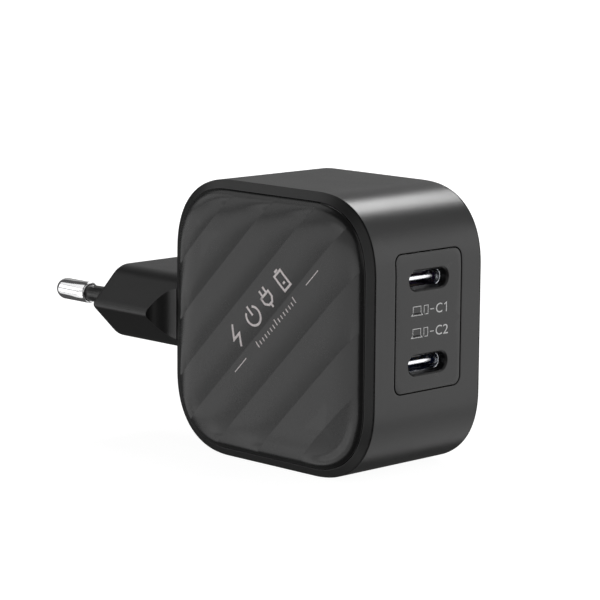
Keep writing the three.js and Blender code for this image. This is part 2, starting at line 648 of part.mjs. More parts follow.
// The mains side stands in the strip between the leads and the transformer, one piece below the other: choke,
// filter capacitor, fuse and thermistor.
const inputX = (-leadClear + transformer.position.x - CORE_LENGTH / 2 - SEAM) / 2;
const chokeTube = CHOKE_CORE_RADIUS + SEAM + CHOKE_WIRE_BUILD;
const inputHeights = [2 * (CHOKE_RADIUS + chokeTube), FILTER_HEIGHT, FUSE_DIAMETER, THERMISTOR_THICKNESS];
const inputTotal = inputHeights.reduce((sum, height) => sum + height + 2 * SEAM, -2 * SEAM);
const inputY = [];
inputHeights.reduce((top, height) => {
  inputY.push(top - height / 2);
  return top - height - 2 * SEAM;
}, inputTotal / 2);

// Common-mode choke: its ring stands upright on the board.
const choke = new THREE.Group();
choke.position.set(inputX, inputY[0], SOLDER_GAP + CHOKE_RADIUS + chokeTube);
choke.rotation.y = Math.PI / 2;
components.add(choke);
const chokeRing = new THREE.TorusGeometry(CHOKE_RADIUS, CHOKE_CORE_RADIUS, 8, 24);
add(choke, 'choke_core', chokeRing, FERRITE, 0.7);

// Half of the choke's winding: a thick tube around the core that follows part of its ring.
function chokeWinding() {
  const tube = circle(chokeTube);
  tube.holes.push(circle(CHOKE_CORE_RADIUS + SEAM));
  const points = [];
  for (let step = 0; step <= 12; step += 1) {
    const angle = (step / 12 - 0.5) * CHOKE_ARC;
    points.push(new THREE.Vector3(CHOKE_RADIUS * Math.cos(angle), CHOKE_RADIUS * Math.sin(angle), 0));
  }
  const extrudePath = new THREE.CatmullRomCurve3(points);
  return new THREE.ExtrudeGeometry(tube, { steps: 10, bevelEnabled: false, extrudePath, curveSegments: 5 });
}
add(choke, 'choke_winding_upper', chokeWinding(), COPPER, 0.35, 0.6).rotation.z = Math.PI / 2;
add(choke, 'choke_winding_lower', chokeWinding(), COPPER, 0.35, 0.6).rotation.z = -Math.PI / 2;

const filterShape = block(FILTER_WIDTH, FILTER_HEIGHT, FILTER_DEPTH, MOULDING_RADIUS);
const filter = add(components, 'line_filter_capacitor', filterShape, 0xc7a53a, 0.5);
filter.position.set(inputX, inputY[1], SOLDER_GAP);
const fuse = add(components, 'input_fuse', can(FUSE_DIAMETER, FUSE_LENGTH), 0x6d2a24, 0.5);
fuse.position.set(inputX, inputY[2], SOLDER_GAP);
const disc = alongY(circle(THERMISTOR_RADIUS), -THERMISTOR_THICKNESS / 2, THERMISTOR_THICKNESS / 2, 8);
const thermistor = add(components, 'inrush_thermistor', disc, 0x27402f, 0.6);
thermistor.position.set(inputX, inputY[3], SOLDER_GAP + THERMISTOR_RADIUS);

// ---------------------------------------------------------------- solder side

// Name, width, height and depth of each chip, and the place of its centre on the board
[
  ['bridge_rectifier', 9, 6.5, 1.4, 11, 6],
  ['switching_ic', 8, 6, 1, 0, 6],
  ['synchronous_rectifier', 6, 5, 1, -9, 7],
  ['port_controller', 4, 4, 0.8, -9, -2],
  ['optocoupler', 4.6, 6.5, 2, 0, -7],
  ['safety_capacitor', 7, 4, 2.2, 9, -7],
].forEach(([name, width, height, depth, x, y]) => {
  const color = name === 'safety_capacitor' ? 0x2f6fa8 : PACKAGE;
  add(solderSide, name, block(width, height, depth, CHIP_RADIUS), color, 0.6).position.set(x, y, SOLDER_GAP);
});

// Inductors on the back of the port board, beside the output capacitors' tops
const inductorX = -(PORT_BOARD_WIDTH - INDUCTOR_WIDTH) / 2;
portHeights.forEach((height, i) => {
  const shape = block(INDUCTOR_WIDTH, INDUCTOR_HEIGHT, INDUCTOR_DEPTH, MOULDING_RADIUS);
  const inductor = add(housing, `port_inductor_${['upper', 'lower'][i]}`, shape, 0x3a3b3f, 0.65);
  inductor.position.set(inductorX, portBoardBack + SEAM, height);
  inductor.rotation.x = -Math.PI / 2;
});

// ---------------------------------------------------------------- heat spreaders and insulation

for (const [name, side] of [['right', 1], ['left', -1]]) {
  const middle = side * (spreaderOuter - SPREADER_THICKNESS / 2);
  const [low, high] = [middle - SPREADER_THICKNESS / 2, middle + SPREADER_THICKNESS / 2];
  const plate = panel(low, high, SPREADER_INSET, boardFront, leadClear);
  add(housing, `heat_spreader_${name}`, plate, ALUMINIUM, 0.4, 1);
}
const sheet = panel(sheetOuter - SHEET_THICKNESS, sheetOuter, SPREADER_INSET, boardFront, leadClear);
add(housing, 'insulation_sheet', sheet, 0xd9c58a, 0.5);

export default charger;
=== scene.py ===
"""Visual model of a two-port USB-C wall charger with a fixed Europlug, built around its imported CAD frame.

Everything is in metres in the row frame: the origin is the centre of the plug's engagement face, +Y points
into the socket and +Z is up. The square housing hangs behind the plug on -Y.
"""

import math

import bmesh
import bpy
import numpy as np
from bpy.props import FloatProperty, FloatVectorProperty, IntProperty, PointerProperty
from mathutils import Matrix, Vector


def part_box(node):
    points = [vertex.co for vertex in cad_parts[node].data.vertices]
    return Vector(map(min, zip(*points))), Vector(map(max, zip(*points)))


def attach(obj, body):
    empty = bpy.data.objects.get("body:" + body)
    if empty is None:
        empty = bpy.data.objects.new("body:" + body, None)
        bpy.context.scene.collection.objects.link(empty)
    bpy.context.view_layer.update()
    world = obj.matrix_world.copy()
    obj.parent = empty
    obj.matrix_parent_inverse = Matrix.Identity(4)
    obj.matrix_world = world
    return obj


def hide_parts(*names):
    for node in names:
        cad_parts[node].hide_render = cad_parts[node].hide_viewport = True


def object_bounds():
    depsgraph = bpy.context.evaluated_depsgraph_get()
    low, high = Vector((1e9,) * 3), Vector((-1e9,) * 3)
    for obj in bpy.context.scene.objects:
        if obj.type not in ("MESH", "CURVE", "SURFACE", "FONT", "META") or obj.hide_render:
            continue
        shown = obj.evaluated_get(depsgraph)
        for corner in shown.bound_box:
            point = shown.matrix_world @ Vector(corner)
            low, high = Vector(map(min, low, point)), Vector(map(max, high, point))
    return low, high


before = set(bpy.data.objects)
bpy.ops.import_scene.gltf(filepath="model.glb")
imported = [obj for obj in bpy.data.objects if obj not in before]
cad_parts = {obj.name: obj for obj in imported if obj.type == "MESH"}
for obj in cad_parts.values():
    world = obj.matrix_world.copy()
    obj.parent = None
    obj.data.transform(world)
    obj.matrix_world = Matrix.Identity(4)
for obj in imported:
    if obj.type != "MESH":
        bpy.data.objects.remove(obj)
CAD_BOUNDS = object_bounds()

bl_info = {
    "name": "USB wall charger",
    "version": (1, 0, 0),
    "blender": (4, 5, 0),
    "location": "3D View > Sidebar > Charger",
    "description": "Builds a two-port USB-C wall charger with a Europlug around its packed frame",
    "category": "Object",
}

MM = 0.001
TINY = 0.0005 * MM
ROOT = "root"


# ---------------------------------------------------------------- places from the frame

def span(node):
    """Lowest corner, highest corner and centre of a CAD node."""
    low, high = (np.array(corner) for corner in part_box(node))
    return low, high, (low + high) / 2


TUBE_LOW, TUBE_HIGH, BODY_CENTRE = span("body_shell")
BEZEL_TOP = span("right_bezel")[1][0]
BOSS_LOW, BOSS_HIGH, BOSS_CENTRE = span("plug_boss")
INSERT_PLACE = span("port_insert")[2][[0, 2]]
PORTS = {place: span(f"usb_shell_{place}") for place in ("upper", "lower")}
PINS = {side: span(f"pin_{side}") for side in ("left", "right")}
BACK_FACE = TUBE_HIGH[1]
FRONT_FACE = TUBE_LOW[1]
FLOOR_LEVEL = CAD_BOUNDS[0][2]
SHELL_END = TUBE_HIGH[0] + 0.08 * MM


# ---------------------------------------------------------------- what a user would change

def length(name, default, description):
    """A size in metres, given here in millimetres."""
    return FloatProperty(name=name, description=description, default=default * MM, min=0, unit="LENGTH",
                         precision=5)


def colour(name, default, description):
    return FloatVectorProperty(name=name, description=description, default=default, size=3, min=0, max=1,
                               subtype="COLOR")


class ChargerHousing(bpy.types.PropertyGroup):
    corner_radius: length("Corner radius", 14.3, "Radius of the housing's four rounded corners")
    corner_power: FloatProperty(name="Corner power", default=2.33, min=2, max=6,
                                description="2 gives a round corner, more gives a squarer one")
    wall: length("Wall", 2, "Wall of the housing's tube")
    seam: length("Seam", 0.15, "Width of the dark line between two pieces")
    edge: length("Edge radius", 0.12, "Radius of the moulded edges along the seams")
    bezel_width: length("Bezel width", 1.56, "Width of the bevelled trim ring, seen from the side")


class ChargerCover(bpy.types.PropertyGroup):
    sink: length("Sink", 0.05, "Depth of the cover's edge below the bezel")
    crown: length("Crown", 1.85, "Rise of the pillow over its edge")
    shoulder: length("Shoulder", 8.0, "Width over which the pillow rises")
    wave_count: IntProperty(name="Waves", default=7, min=1, max=15,
                            description="Number of crisp diagonal lines")
    wave_pitch: length("Wave pitch", 7.3, "Distance from one diagonal line to the next")
    wave_step: length("Wave step", 1.0, "How far each wave sinks before the next line")
    mark_stroke: length("Mark stroke", 0.42, "Width of the lines of the printed pictograms")


class ChargerPorts(bpy.types.PropertyGroup):
    insert_width: length("Insert width", 16.4, "Width of the flush plate around the ports")
    insert_height: length("Insert height", 24.2, "Height of that plate")
    insert_radius: length("Insert corner", 1.5, "Corner radius of that plate")
    hole_width: length("Hole width", 9.4, "Width of a port's opening")
    hole_height: length("Hole height", 3.25, "Height of a port's opening")
    chamfer: length("Hole chamfer", 0.32, "Chamfer around a port's opening")
    label_height: length("Label height", 1.7, "Height of the printed port labels")
    label_stroke: length("Label stroke", 0.16, "Width of the dash before each port's number")


class ChargerPlug(bpy.types.PropertyGroup):
    ridge_width: length("Ridge width", 36.1, "Between the boss's side ridges, before they are rounded")
    nose_radius: length("Nose radius", 1.0, "Rounding of the side ridges")
    edge_radius: length("Edge radius", 5, "Rounding of the boss's long upper and lower edges")
    face_edge: length("Face edge", 0.5, "Rounding around the engagement face")
    cove_radius: length("Cove depth", 4.7, "Depth of the finger coves beside the housing")
    cove_length: length("Cove length", 4.2, "How far the finger coves reach along the plug")
    pin_diameter: length("Pin diameter", 4, "Diameter of the metal end of a pin")
    pin_shoulder: length("Pin shoulder", 0.2, "Bevel of the metal end where it meets the sleeve")
    sleeve_length: length("Sleeve length", 10, "Insulated part of a pin outside the boss")
    sleeve_tip: length("Sleeve tip", 3.1, "Diameter of the sleeve beside the metal end")
    sleeve_root: length("Sleeve root", 3.4, "Diameter of the sleeve at the boss")


class ChargerColours(bpy.types.PropertyGroup):
    shell: colour("Shell", (0.006, 0.006, 0.006), "Satin plastic of the housing and the port insert")
    bezel: colour("Bezel", (0.004, 0.004, 0.004), "Dark plastic of the trim rings")
    cover: colour("Cover", (0.006, 0.006, 0.006), "Satin plastic of the wavy side covers")
    boss: colour("Boss", (0.006, 0.006, 0.006), "Plastic of the plug's body")
    sleeve: colour("Sleeve", (0.006, 0.006, 0.006), "Plastic sleeve of the pins")
    nickel: colour("Nickel", (0.95, 0.95, 0.96), "Plating of the pins")
    steel: colour("Steel", (0.73, 0.75, 0.79), "Metal shell of the ports")
    gold: colour("Gold", (0.83, 0.62, 0.28), "Plating of the contacts")
    mark: colour("Printed mark", (0.85, 0.78, 0.78), "Ink of the pictograms on the cover")
    label: colour("Printed label", (0.75, 0.75, 0.75), "Ink of the port labels")


class ChargerStage(bpy.types.PropertyGroup):
    azimuth: FloatProperty(name="Camera azimuth", default=math.radians(-45.079), subtype="ANGLE",
                           description="Turn of the camera about the object, from the port face to the right")
    elevation: FloatProperty(name="Camera elevation", default=math.radians(9.839), subtype="ANGLE",
                             description="Height of the camera over the horizon")
    roll: FloatProperty(name="Camera roll", default=math.radians(0.543), subtype="ANGLE",
                        description="Turn of the camera about its own axis")
    distance: length("Camera distance", 496.0, "From the camera to the centre of the housing")
    lens: FloatProperty(name="Lens", default=166.16, min=10, description="Focal length in millimetres")
    floor: colour("Floor", (0.25, 0.25, 0.25), "Pale floor")
    light: FloatProperty(name="Light", default=1, min=0, description="Strength of all lamps together")


SETTINGS = {
    "charger_housing": ChargerHousing,
    "charger_cover": ChargerCover,
    "charger_ports": ChargerPorts,
    "charger_plug": ChargerPlug,
    "charger_colours": ChargerColours,
    "charger_stage": ChargerStage,
}


# ---------------------------------------------------------------- curves and outlines

def along_curve(arc, arcs, values):
    """Pairs of numbers at these arc lengths, between the samples of a curve."""
    return np.stack([np.interp(arc, arcs, values[:, i]) for i in range(2)], -1)


class Outline:
    """The housing's outline in the YZ plane as a curve of arc length, counter-clockwise from its lowest
    middle point. Each corner is a quarter of the superellipse |a|^n + |b|^n = r^n, whose outward normal runs
    along (|a|^(n-1), |b|^(n-1)); the sides between the corners are straight."""

    SAMPLES = 400
    BATCH = 2000

    def __init__(self, housing):
        half = (TUBE_HIGH - TUBE_LOW)[1:] / 2
        radius, power = housing.corner_radius, housing.corner_power
        angle = np.linspace(0, math.pi / 2, self.SAMPLES)
        cos, sin = np.cos(angle).clip(0), np.sin(angle).clip(0)
        corner = radius * np.stack([cos ** (2 / power), sin ** (2 / power)], -1)
        normal = np.stack([cos ** (2 - 2 / power), sin ** (2 - 2 / power)], -1)
        normal /= np.linalg.norm(normal, axis=1, keepdims=True)
        points, normals = [np.array([[0, -half[1]]])], [np.array([[0, -1.0]])]
        for quarter in range(-1, 3):
            turn = np.linalg.matrix_power(np.array([[0, -1], [1, 0]]), quarter % 4)
            middle = np.sign(turn @ np.ones(2)) * (half - radius)
            points.append(corner @ turn.T + middle)
            normals.append(normal @ turn.T)
        self.points = np.concatenate([*points, points[0]]) + BODY_CENTRE[1:]
        self.normals = np.concatenate([*normals, normals[0]])
        steps = np.linalg.norm(np.diff(self.points, axis=0), axis=1)
        self.arc = np.concatenate([[0], np.cumsum(steps)])
        self.total = self.arc[-1]

    def at(self, arc, inset):
        """Points (y, z) at these arc lengths, moved inwards by `inset`."""
        normal = along_curve(arc, self.arc, self.normals)
        normal /= np.linalg.norm(normal, axis=-1, keepdims=True)
        return along_curve(arc, self.arc, self.points) - np.asarray(inset)[..., None] * normal

    def side(self, front):
        """Arc length and height along the back or the front side, ordered by rising height."""
        share = (0.625, 0.875) if front else (0.125, 0.375)
        kept = (self.arc >= share[0] * self.total) & (self.arc <= share[1] * self.total)
        order = slice(None, None, -1) if front else slice(None)
        return self.arc[kept][order], self.points[kept][order]

    def arc_at(self, height, front):
        """Arc length where the front or back side has this height."""
        arc, points = self.side(front)
        return np.interp(height, points[:, 1], arc)

    def depth_at(self, height, front, inset=0):
        """Y of the front or back side at this height, for the outline moved inwards by `inset`."""
        arc, _ = self.side(front)
        points = self.at(arc, inset)
        return np.interp(height, points[:, 1], points[:, 0])

    def inset_of(self, points, inset):
        """How far points (y, z) lie inside the outline moved inwards by `inset`: the nearest sample's normal
        measures it."""
        edge, flat = self.points - inset * self.normals, points.reshape(-1, 2)
        found = np.empty(len(flat))
        for start in range(0, len(flat), self.BATCH):
            part = flat[start:start + self.BATCH]
            apart = ((part[:, None] - edge[None]) ** 2).sum(-1)
            near = apart.argmin(1)
            found[start:start + self.BATCH] = ((edge[near] - part) * self.normals[near]).sum(-1)
        return found.reshape(points.shape[:-1])


def rounded_box(centre, width, height, radius):
    """Signed distance to a rectangle with round corners: |p| less the straight half sizes, its positive
    part's length less the radius; negative inside."""
    straight = np.array([width, height]) / 2 - radius

    def distance(points):
        beyond = np.abs(points - np.asarray(centre)) - straight
        return np.linalg.norm(beyond.clip(0), axis=-1) + beyond.max(-1).clip(max=0) - radius

    return distance


HALVINGS = 44
RAY = 40 * MM


def cast(shape, centre, angles, level=0.0):
    """Points where rays from the centre meet the curve shape(p) = level, found by halving the rays."""
    ray = np.stack([np.cos(angles), np.sin(angles)], -1)
    low, high = np.zeros(len(angles)), np.full(len(angles), RAY)
    for _ in range(HALVINGS):
        middle = (low + high) / 2
        outside = shape(centre + ray * middle[:, None]) > level
        low, high = np.where(outside, low, middle), np.where(outside, middle, high)
    return centre + ray * low[:, None]


def angles_to(points, centre):
    """Directions from the centre to points, as angles."""
    return np.arctan2(points[:, 1] - centre[1], points[:, 0] - centre[0])


def push(points, shape, by):
    """Points moved along the gradient of a signed distance."""
    tiny = 0.001 * MM
    grad = np.stack([shape(points + step) - shape(points - step) for step in tiny * np.eye(2)], -1)
    return points + by * grad / np.linalg.norm(grad, axis=-1, keepdims=True)


def arc_steps(radius, count):
    """Pairs (sideways, down) along a quarter circle that turns from flat to upright."""
    angle = np.linspace(0, math.pi / 2, count + 1)
    return [(radius * math.sin(a), radius * (1 - math.cos(a))) for a in angle]


def banded(low, high, near, count):
    """Numbers from low to high: six even steps within `near` of each end, and `count` points between."""
    return np.concatenate([np.linspace(low, low + near, 7)[:-1],
                           np.linspace(low + near, high - near, count)[:-1],
                           np.linspace(high - near, high, 7)])


# ---------------------------------------------------------------- meshes

class Skin:
    """Grids of points that join into one closed mesh."""

    MERGE = 0.002 * MM
    SHARP = math.radians(38)

    def __init__(self):
        self.points, self.faces, self.count = [], [], 0

    def grid(self, points, around=False, hidden=None):
        """Quads between neighbours of an (n, m, 3) grid; `around` joins the last row to the first, and cells
        marked in `hidden` are left open."""
        rows, columns = points.shape[:2]
        index = self.count + np.arange(rows * columns).reshape(rows, columns)
        if around:
            index = np.concatenate([index, index[:1]])
        quads = np.stack([index[:-1, :-1], index[1:, :-1], index[1:, 1:], index[:-1, 1:]], -1)
        if hidden is not None:
            quads = quads[~hidden]
        self.faces.extend(quads.reshape(-1, 4).tolist())
        self.points.append(points.reshape(-1, 3))
        self.count += rows * columns

    def loft(self, loops, close_start=False, close_end=False):
        """Closed loops of equal length joined in order, and capped where asked."""
        loops = np.asarray(loops)
        first = self.count
        self.grid(np.swapaxes(loops, 0, 1), around=True)
        size, rows = loops.shape[1], loops.shape[0]
        if close_start:
            self.faces.append([first + i * rows for i in range(size)])
        if close_end:
            self.faces.append([first + i * rows + rows - 1 for i in range(size)][::-1])

    def mesh(self, name):
        """One mesh with doubles merged, faces turned outwards and smooth shading apart from sharp edges."""
        mesh = bpy.data.meshes.new(name)
        mesh.from_pydata(np.concatenate(self.points).tolist(), [], self.faces)
        work = bmesh.new()
        work.from_mesh(mesh)
        bmesh.ops.remove_doubles(work, verts=work.verts, dist=self.MERGE)
        bmesh.ops.dissolve_degenerate(work, edges=work.edges, dist=TINY)
        bmesh.ops.recalc_face_normals(work, faces=work.faces)
        work.to_mesh(mesh)
        work.free()
        mesh.shade_smooth()
        mesh.set_sharp_from_angle(angle=self.SHARP)
        return mesh


def piece(name, skin, material, stands_for=()):
    """A finished piece: its object at the origin, riding on the body and standing for its CAD nodes."""
    mesh = skin.mesh(name) if isinstance(skin, Skin) else skin
    made = bpy.data.objects.new(name, mesh)
    bpy.context.scene.collection.objects.link(made)
    mesh.materials.append(material)
    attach(made, ROOT)
    if stands_for:
        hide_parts(*stands_for)
    return made


def plane_to_space(points, y):
    """Points (x, z) and their depth y, a number or an array, as (x, y, z)."""
    y = np.broadcast_to(y, points.shape[:-1])
    return np.stack([points[..., 0], y, points[..., 1]], -1)


# ---------------------------------------------------------------- shader maths

class Socket:
    """A shader value that takes part in Python arithmetic: each operator adds one Math node."""

    def __init__(self, finish, socket):
        self.finish = finish
        self.socket = socket

    def _math(self, operation, *values):
        return self.finish.node("ShaderNodeMath", {"operation": operation}, dict(enumerate(values)))

    def __add__(self, other):
        return self._math("ADD", self, other)

    def __sub__(self, other):
        return self._math("SUBTRACT", self, other)

    def __rsub__(self, other):
        return self._math("SUBTRACT", other, self)

    def __mul__(self, other):
        return self._math("MULTIPLY", self, other)

    __radd__ = __add__
    __rmul__ = __mul__

    def between(self, low, high):
        """0 below low, 1 above high and a straight ramp between them."""
        return self.finish.node("ShaderNodeMapRange", {"clamp": True}, {0: self, 1: low, 2: high})


class Finish:
    """A material on the Principled shader, with its patterns in Object coordinates."""

    def __init__(self, name, **constants):
        self.material = bpy.data.materials.new(name)
        self.material.use_nodes = True
        self.tree = self.material.node_tree
        self.shader = self.tree.nodes["Principled BSDF"]
        self.place = self.node("ShaderNodeTexCoord", out="Object")
        for socket, value in constants.items():
            self.set(socket.replace("_", " "), value)

    def node(self, kind, settings=None, inputs=None, out=0):
        """Any node: its type, its settings, the values or links of its sockets and the output wanted."""
        made = self.tree.nodes.new(kind)
        for key, value in (settings or {}).items():
            setattr(made, key, value)
        for key, value in (inputs or {}).items():
            self._feed(made.inputs[key], value)
        return Socket(self, made.outputs[out])

    def _feed(self, socket, value):
        if isinstance(value, Socket):
            self.tree.links.new(value.socket, socket)
        elif socket.type == "RGBA" and len(value) == 3:
            socket.default_value = (*value, 1)
        else:
            socket.default_value = value

    def set(self, name, value):
        self._feed(self.shader.inputs[name], value)

    def noise(self, scale, detail, stretch=None):
        """Noise in object space, stretched along an axis where asked."""
        place = self.place
        if stretch:
            place = self.node("ShaderNodeMapping", None, {"Vector": place, "Scale": stretch})
        return self.node("ShaderNodeTexNoise", None, {"Vector": place, "Scale": scale, "Detail": detail})

    def mix(self, share, first, second):
        """Colour between two others."""
        return self.node("ShaderNodeMix", {"data_type": "RGBA"}, {0: share, 6: first, 7: second}, out=2)

    def bump(self, height, distance, strength):
        self.set("Normal", self.node("ShaderNodeBump", None, {"Strength": strength, "Distance": distance,
                                                              "Height": height}))


def shade(colour_value, factor):
    """A colour made lighter or darker."""
    return tuple(min(1.0, channel * factor) for channel in colour_value)


def satin_plastic(name, base, roughness, grain=0.5, worn=3.0):
    """Moulded plastic: a fine spark-eroded grain, slow unevenness in tone and gloss, edges rubbed lighter."""
    finish = Finish(name)
    cloud = finish.noise(90, 4)
    speck = finish.noise(5200, 2)
    rubbed = finish.node("ShaderNodeNewGeometry", out="Pointiness").between(0.515, 0.60)
    tone = finish.mix(cloud.between(0.3, 0.7), shade(base, 0.93), shade(base, 1.07))
    tone = finish.mix(speck.between(0.35, 0.65) * 0.5, tone, shade(base, 1.12))
    finish.set("Base Color", finish.mix(rubbed * 0.5, tone, shade(base, worn)))
    finish.set("Roughness", (cloud - 0.5) * 0.10 + (speck - 0.5) * 0.12 + roughness - rubbed * 0.05)
    finish.bump(speck, 0.012 * MM, grain)
    return finish.material


def plated_metal(name, base, roughness, stretch, dull=0.86, depth=0.35):
    """Drawn or turned metal: faint lines along or round the piece and a slight haze."""
    finish = Finish(name, Metallic=1.0)
    line = finish.noise(1.0, 3, stretch)
    haze = finish.noise(300, 3)
    finish.set("Base Color", finish.mix(haze.between(0.35, 0.7), base, shade(base, dull)))
    finish.set("Roughness", roughness + (line - 0.5) * 0.08 + haze.between(0.4, 0.8) * 0.06)
    finish.bump(line, 0.004 * MM, depth)
    return finish.material


def hammered_metal(name, base, roughness):
    """Pressed metal with small dents that break up its reflections."""
    finish = Finish(name, Metallic=1.0)
    dent = finish.noise(1400, 2)
    haze = finish.noise(5000, 2)
    finish.set("Base Color", finish.mix(haze.between(0.35, 0.7), base, shade(base, 0.8)))
    finish.set("Roughness", haze * 0.08 + roughness)
    finish.bump(dent, 0.12 * MM, 0.8)
    return finish.material


def ink(name, base):
    """Pad-printed ink with slightly uneven cover."""
    finish = Finish(name)
    cover = finish.noise(2600, 3)
    finish.set("Base Color", finish.mix(cover.between(0.3, 0.7), shade(base, 0.86), shade(base, 1.08)))
    finish.set("Roughness", cover * 0.16 + 0.42)
    finish.bump(cover, 0.006 * MM, 0.3)
    return finish.material


# ---------------------------------------------------------------- housing

def window(outline, boundary, hole, front, inset):
    """Rows of points between a rectangle of grid points and a hole in the front or back wall: straight rays
    from the hole's centre, on the wall's outer face or `inset` below it. The last rows turn into the hole
    along a quarter circle."""
    edge, (centre, shape) = bpy.context.scene.charger_housing.edge, hole
    angles = angles_to(boundary, centre)
    into = 1 if front == (inset == 0) else -1
    start = cast(shape, centre, angles, edge + 0.3 * MM)
    rows = [(start + (boundary - start) * share, 0) for share in (1, 0.6, 0.3, 0.12, 0)]
    rows += [(cast(shape, centre, angles, edge - side), down) for side, down in arc_steps(edge, 3)]
    return [plane_to_space(flat, outline.depth_at(flat[:, 1], front, inset) + down * into)
            for flat, down in rows]


class CHARGER_OT_body_shell(bpy.types.Operator):
    """Square tube of the housing, with windows for the port insert and the plug's neck"""

    bl_idname = "charger.body_shell"
    bl_label = "Body shell"

    REACH = 11 * MM  # half the width of the windows' rectangles
    NEAR = 2.5 * MM  # finer cells within this distance of their edges
    FLANK = 12.2 * MM
    STATION = 0.55 * MM
    PORT_ROWS = (18.6 * MM, -13 * MM)  # the rectangles' ends over the housing's centre, along the outline
    NECK_ROWS = (-9.5 * MM, 7.7 * MM)
    NECK_HOLE = (21.4 * MM, 10.8 * MM, 0.8 * MM)

    def execute(self, context):
        """Grid of the outline's stations against a closed profile of (x, inset) pairs; the cells of the two
        windows are left out on both sides of the wall and filled by rays to each hole."""
        scene = context.scene
        housing, ports = scene.charger_housing, scene.charger_ports
        outline, edge, seam, wall = Outline(housing), housing.edge, housing.seam, housing.wall
        across = banded(-self.REACH, self.REACH, self.NEAR, 9)
        neck = BOSS_CENTRE[[0, 2]]
        holes = {
            True: (INSERT_PLACE, rounded_box(INSERT_PLACE, ports.insert_width + 2 * seam,
                                             ports.insert_height + 2 * seam, ports.insert_radius + seam)),
            False: (neck, rounded_box(neck, *self.NECK_HOLE)),
        }
        stations, ranges = self.stations(outline)
        outer = [(-SHELL_END, edge), *self.rounding(-SHELL_END, edge), (2 * edge - SHELL_END, 0),
                 (-self.FLANK, 0)]
        first, width = len(outer), len(across) - 1
        outer += [(x, 0) for x in (*across, self.FLANK, SHELL_END - 2 * edge)]
        outer += [*self.rounding(SHELL_END, edge)[::-1], (SHELL_END, edge)]
        inner = [(x, wall) for x in (SHELL_END, self.FLANK, *across[::-1], -self.FLANK, -SHELL_END)]
        profile = np.array(outer + inner + outer[:1])
        mirrored = len(outer) + 2
        points = carried(outline, stations, profile)
        hidden = np.zeros((len(stations) - 1, len(profile) - 1), bool)
        skin = Skin()
        for front, (low, high) in ranges.items():
            walls = []
            for a, b, inset in ((first, first + width, 0), (mirrored + width, mirrored, wall)):
                hidden[low:high, min(a, b):max(a, b)] = True
                step = 1 if b > a else -1
                loop = np.concatenate([points[low:high, a], points[high, a:b:step], points[high:low:-1, b],
                                       points[low, b:a:-step]])
                rows = window(outline, loop[:, [0, 2]], holes[front], front, inset)
                walls.append([loop, *rows[1:]])
            skin.loft(walls[0] + walls[1][::-1])
        skin.grid(points, hidden=hidden)
        piece("charger_body_shell", skin, satin_plastic("shell_plastic", scene.charger_colours.shell, 0.32),
              ["body_shell"])
        return {"FINISHED"}

    @staticmethod
    def rounding(end, edge):
        """(x, inset) pairs round the tube's outer edge at one end."""
        sign = math.copysign(1, end)
        return [(end - sign * down, edge - side) for side, down in arc_steps(edge, 3)][1:]

    def stations(self, outline):
        """Arc lengths along the outline, exact at the windows' lower and upper ends, and the windows' index
        ranges."""
        back = [outline.arc_at(BODY_CENTRE[2] + row, False) for row in self.NECK_ROWS]
        front = [outline.arc_at(BODY_CENTRE[2] + row, True) for row in self.PORT_ROWS]
        parts, ranges, count = [], {}, 0
        marks = [0, *back, *front, outline.total]
        for i, (low, high) in enumerate(zip(marks[:-1], marks[1:])):
            if i in (1, 3):
                part = banded(low, high, self.NEAR, 20)[:-1]
                ranges[i == 3] = (count, count + len(part))
            else:
                part = np.linspace(low, high, int((high - low) / self.STATION) + 1)[:-1]
            parts.append(part)
            count += len(part)
        return np.concatenate([*parts, [outline.total]]), ranges


def carried(outline, stations, profile):
    """Grid of a profile of (x, inset) pairs carried along the housing's outline."""
    x, inset = np.array(profile).T
    flat = outline.at(stations[:, None], inset[None])
    return np.concatenate([np.broadcast_to(x[None, :, None], (*flat.shape[:2], 1)), flat], -1)


def ring(outline, profile):
    """Closed ring over a profile of (x, inset) pairs that follows the housing's outline."""
    stations = np.linspace(0, outline.total, int(outline.total / (0.5 * MM)))
    skin = Skin()
    skin.grid(carried(outline, stations, [*profile, profile[0]]))
    return skin


def on_side(skin, left):
    """The skin as made for +X, or turned half round the Y axis through the body's centre for -X."""
    if left:
        skin.points = [np.stack([-p[:, 0], p[:, 1], 2 * BODY_CENTRE[2] - p[:, 2]], -1) for p in skin.points]
    return skin


def soft_corners(profile, radii):
    """Closed profile whose corners are replaced by short arcs: each corner moves along a quadratic curve
    from `radius` before it to `radius` after it."""
    points = np.array(profile)
    made = []
    for i, (corner, radius) in enumerate(zip(points, radii)):
        if radius == 0:
            made.append(tuple(corner))
            continue
        towards = [points[i - 1] - corner, points[(i + 1) % len(points)] - corner]
        start, end = (corner + radius * way / np.linalg.norm(way) for way in towards)
        for share in np.linspace(0, 1, 4):
            made.append(tuple((1 - share) ** 2 * start + 2 * share * (1 - share) * corner + share ** 2 * end))
    return made


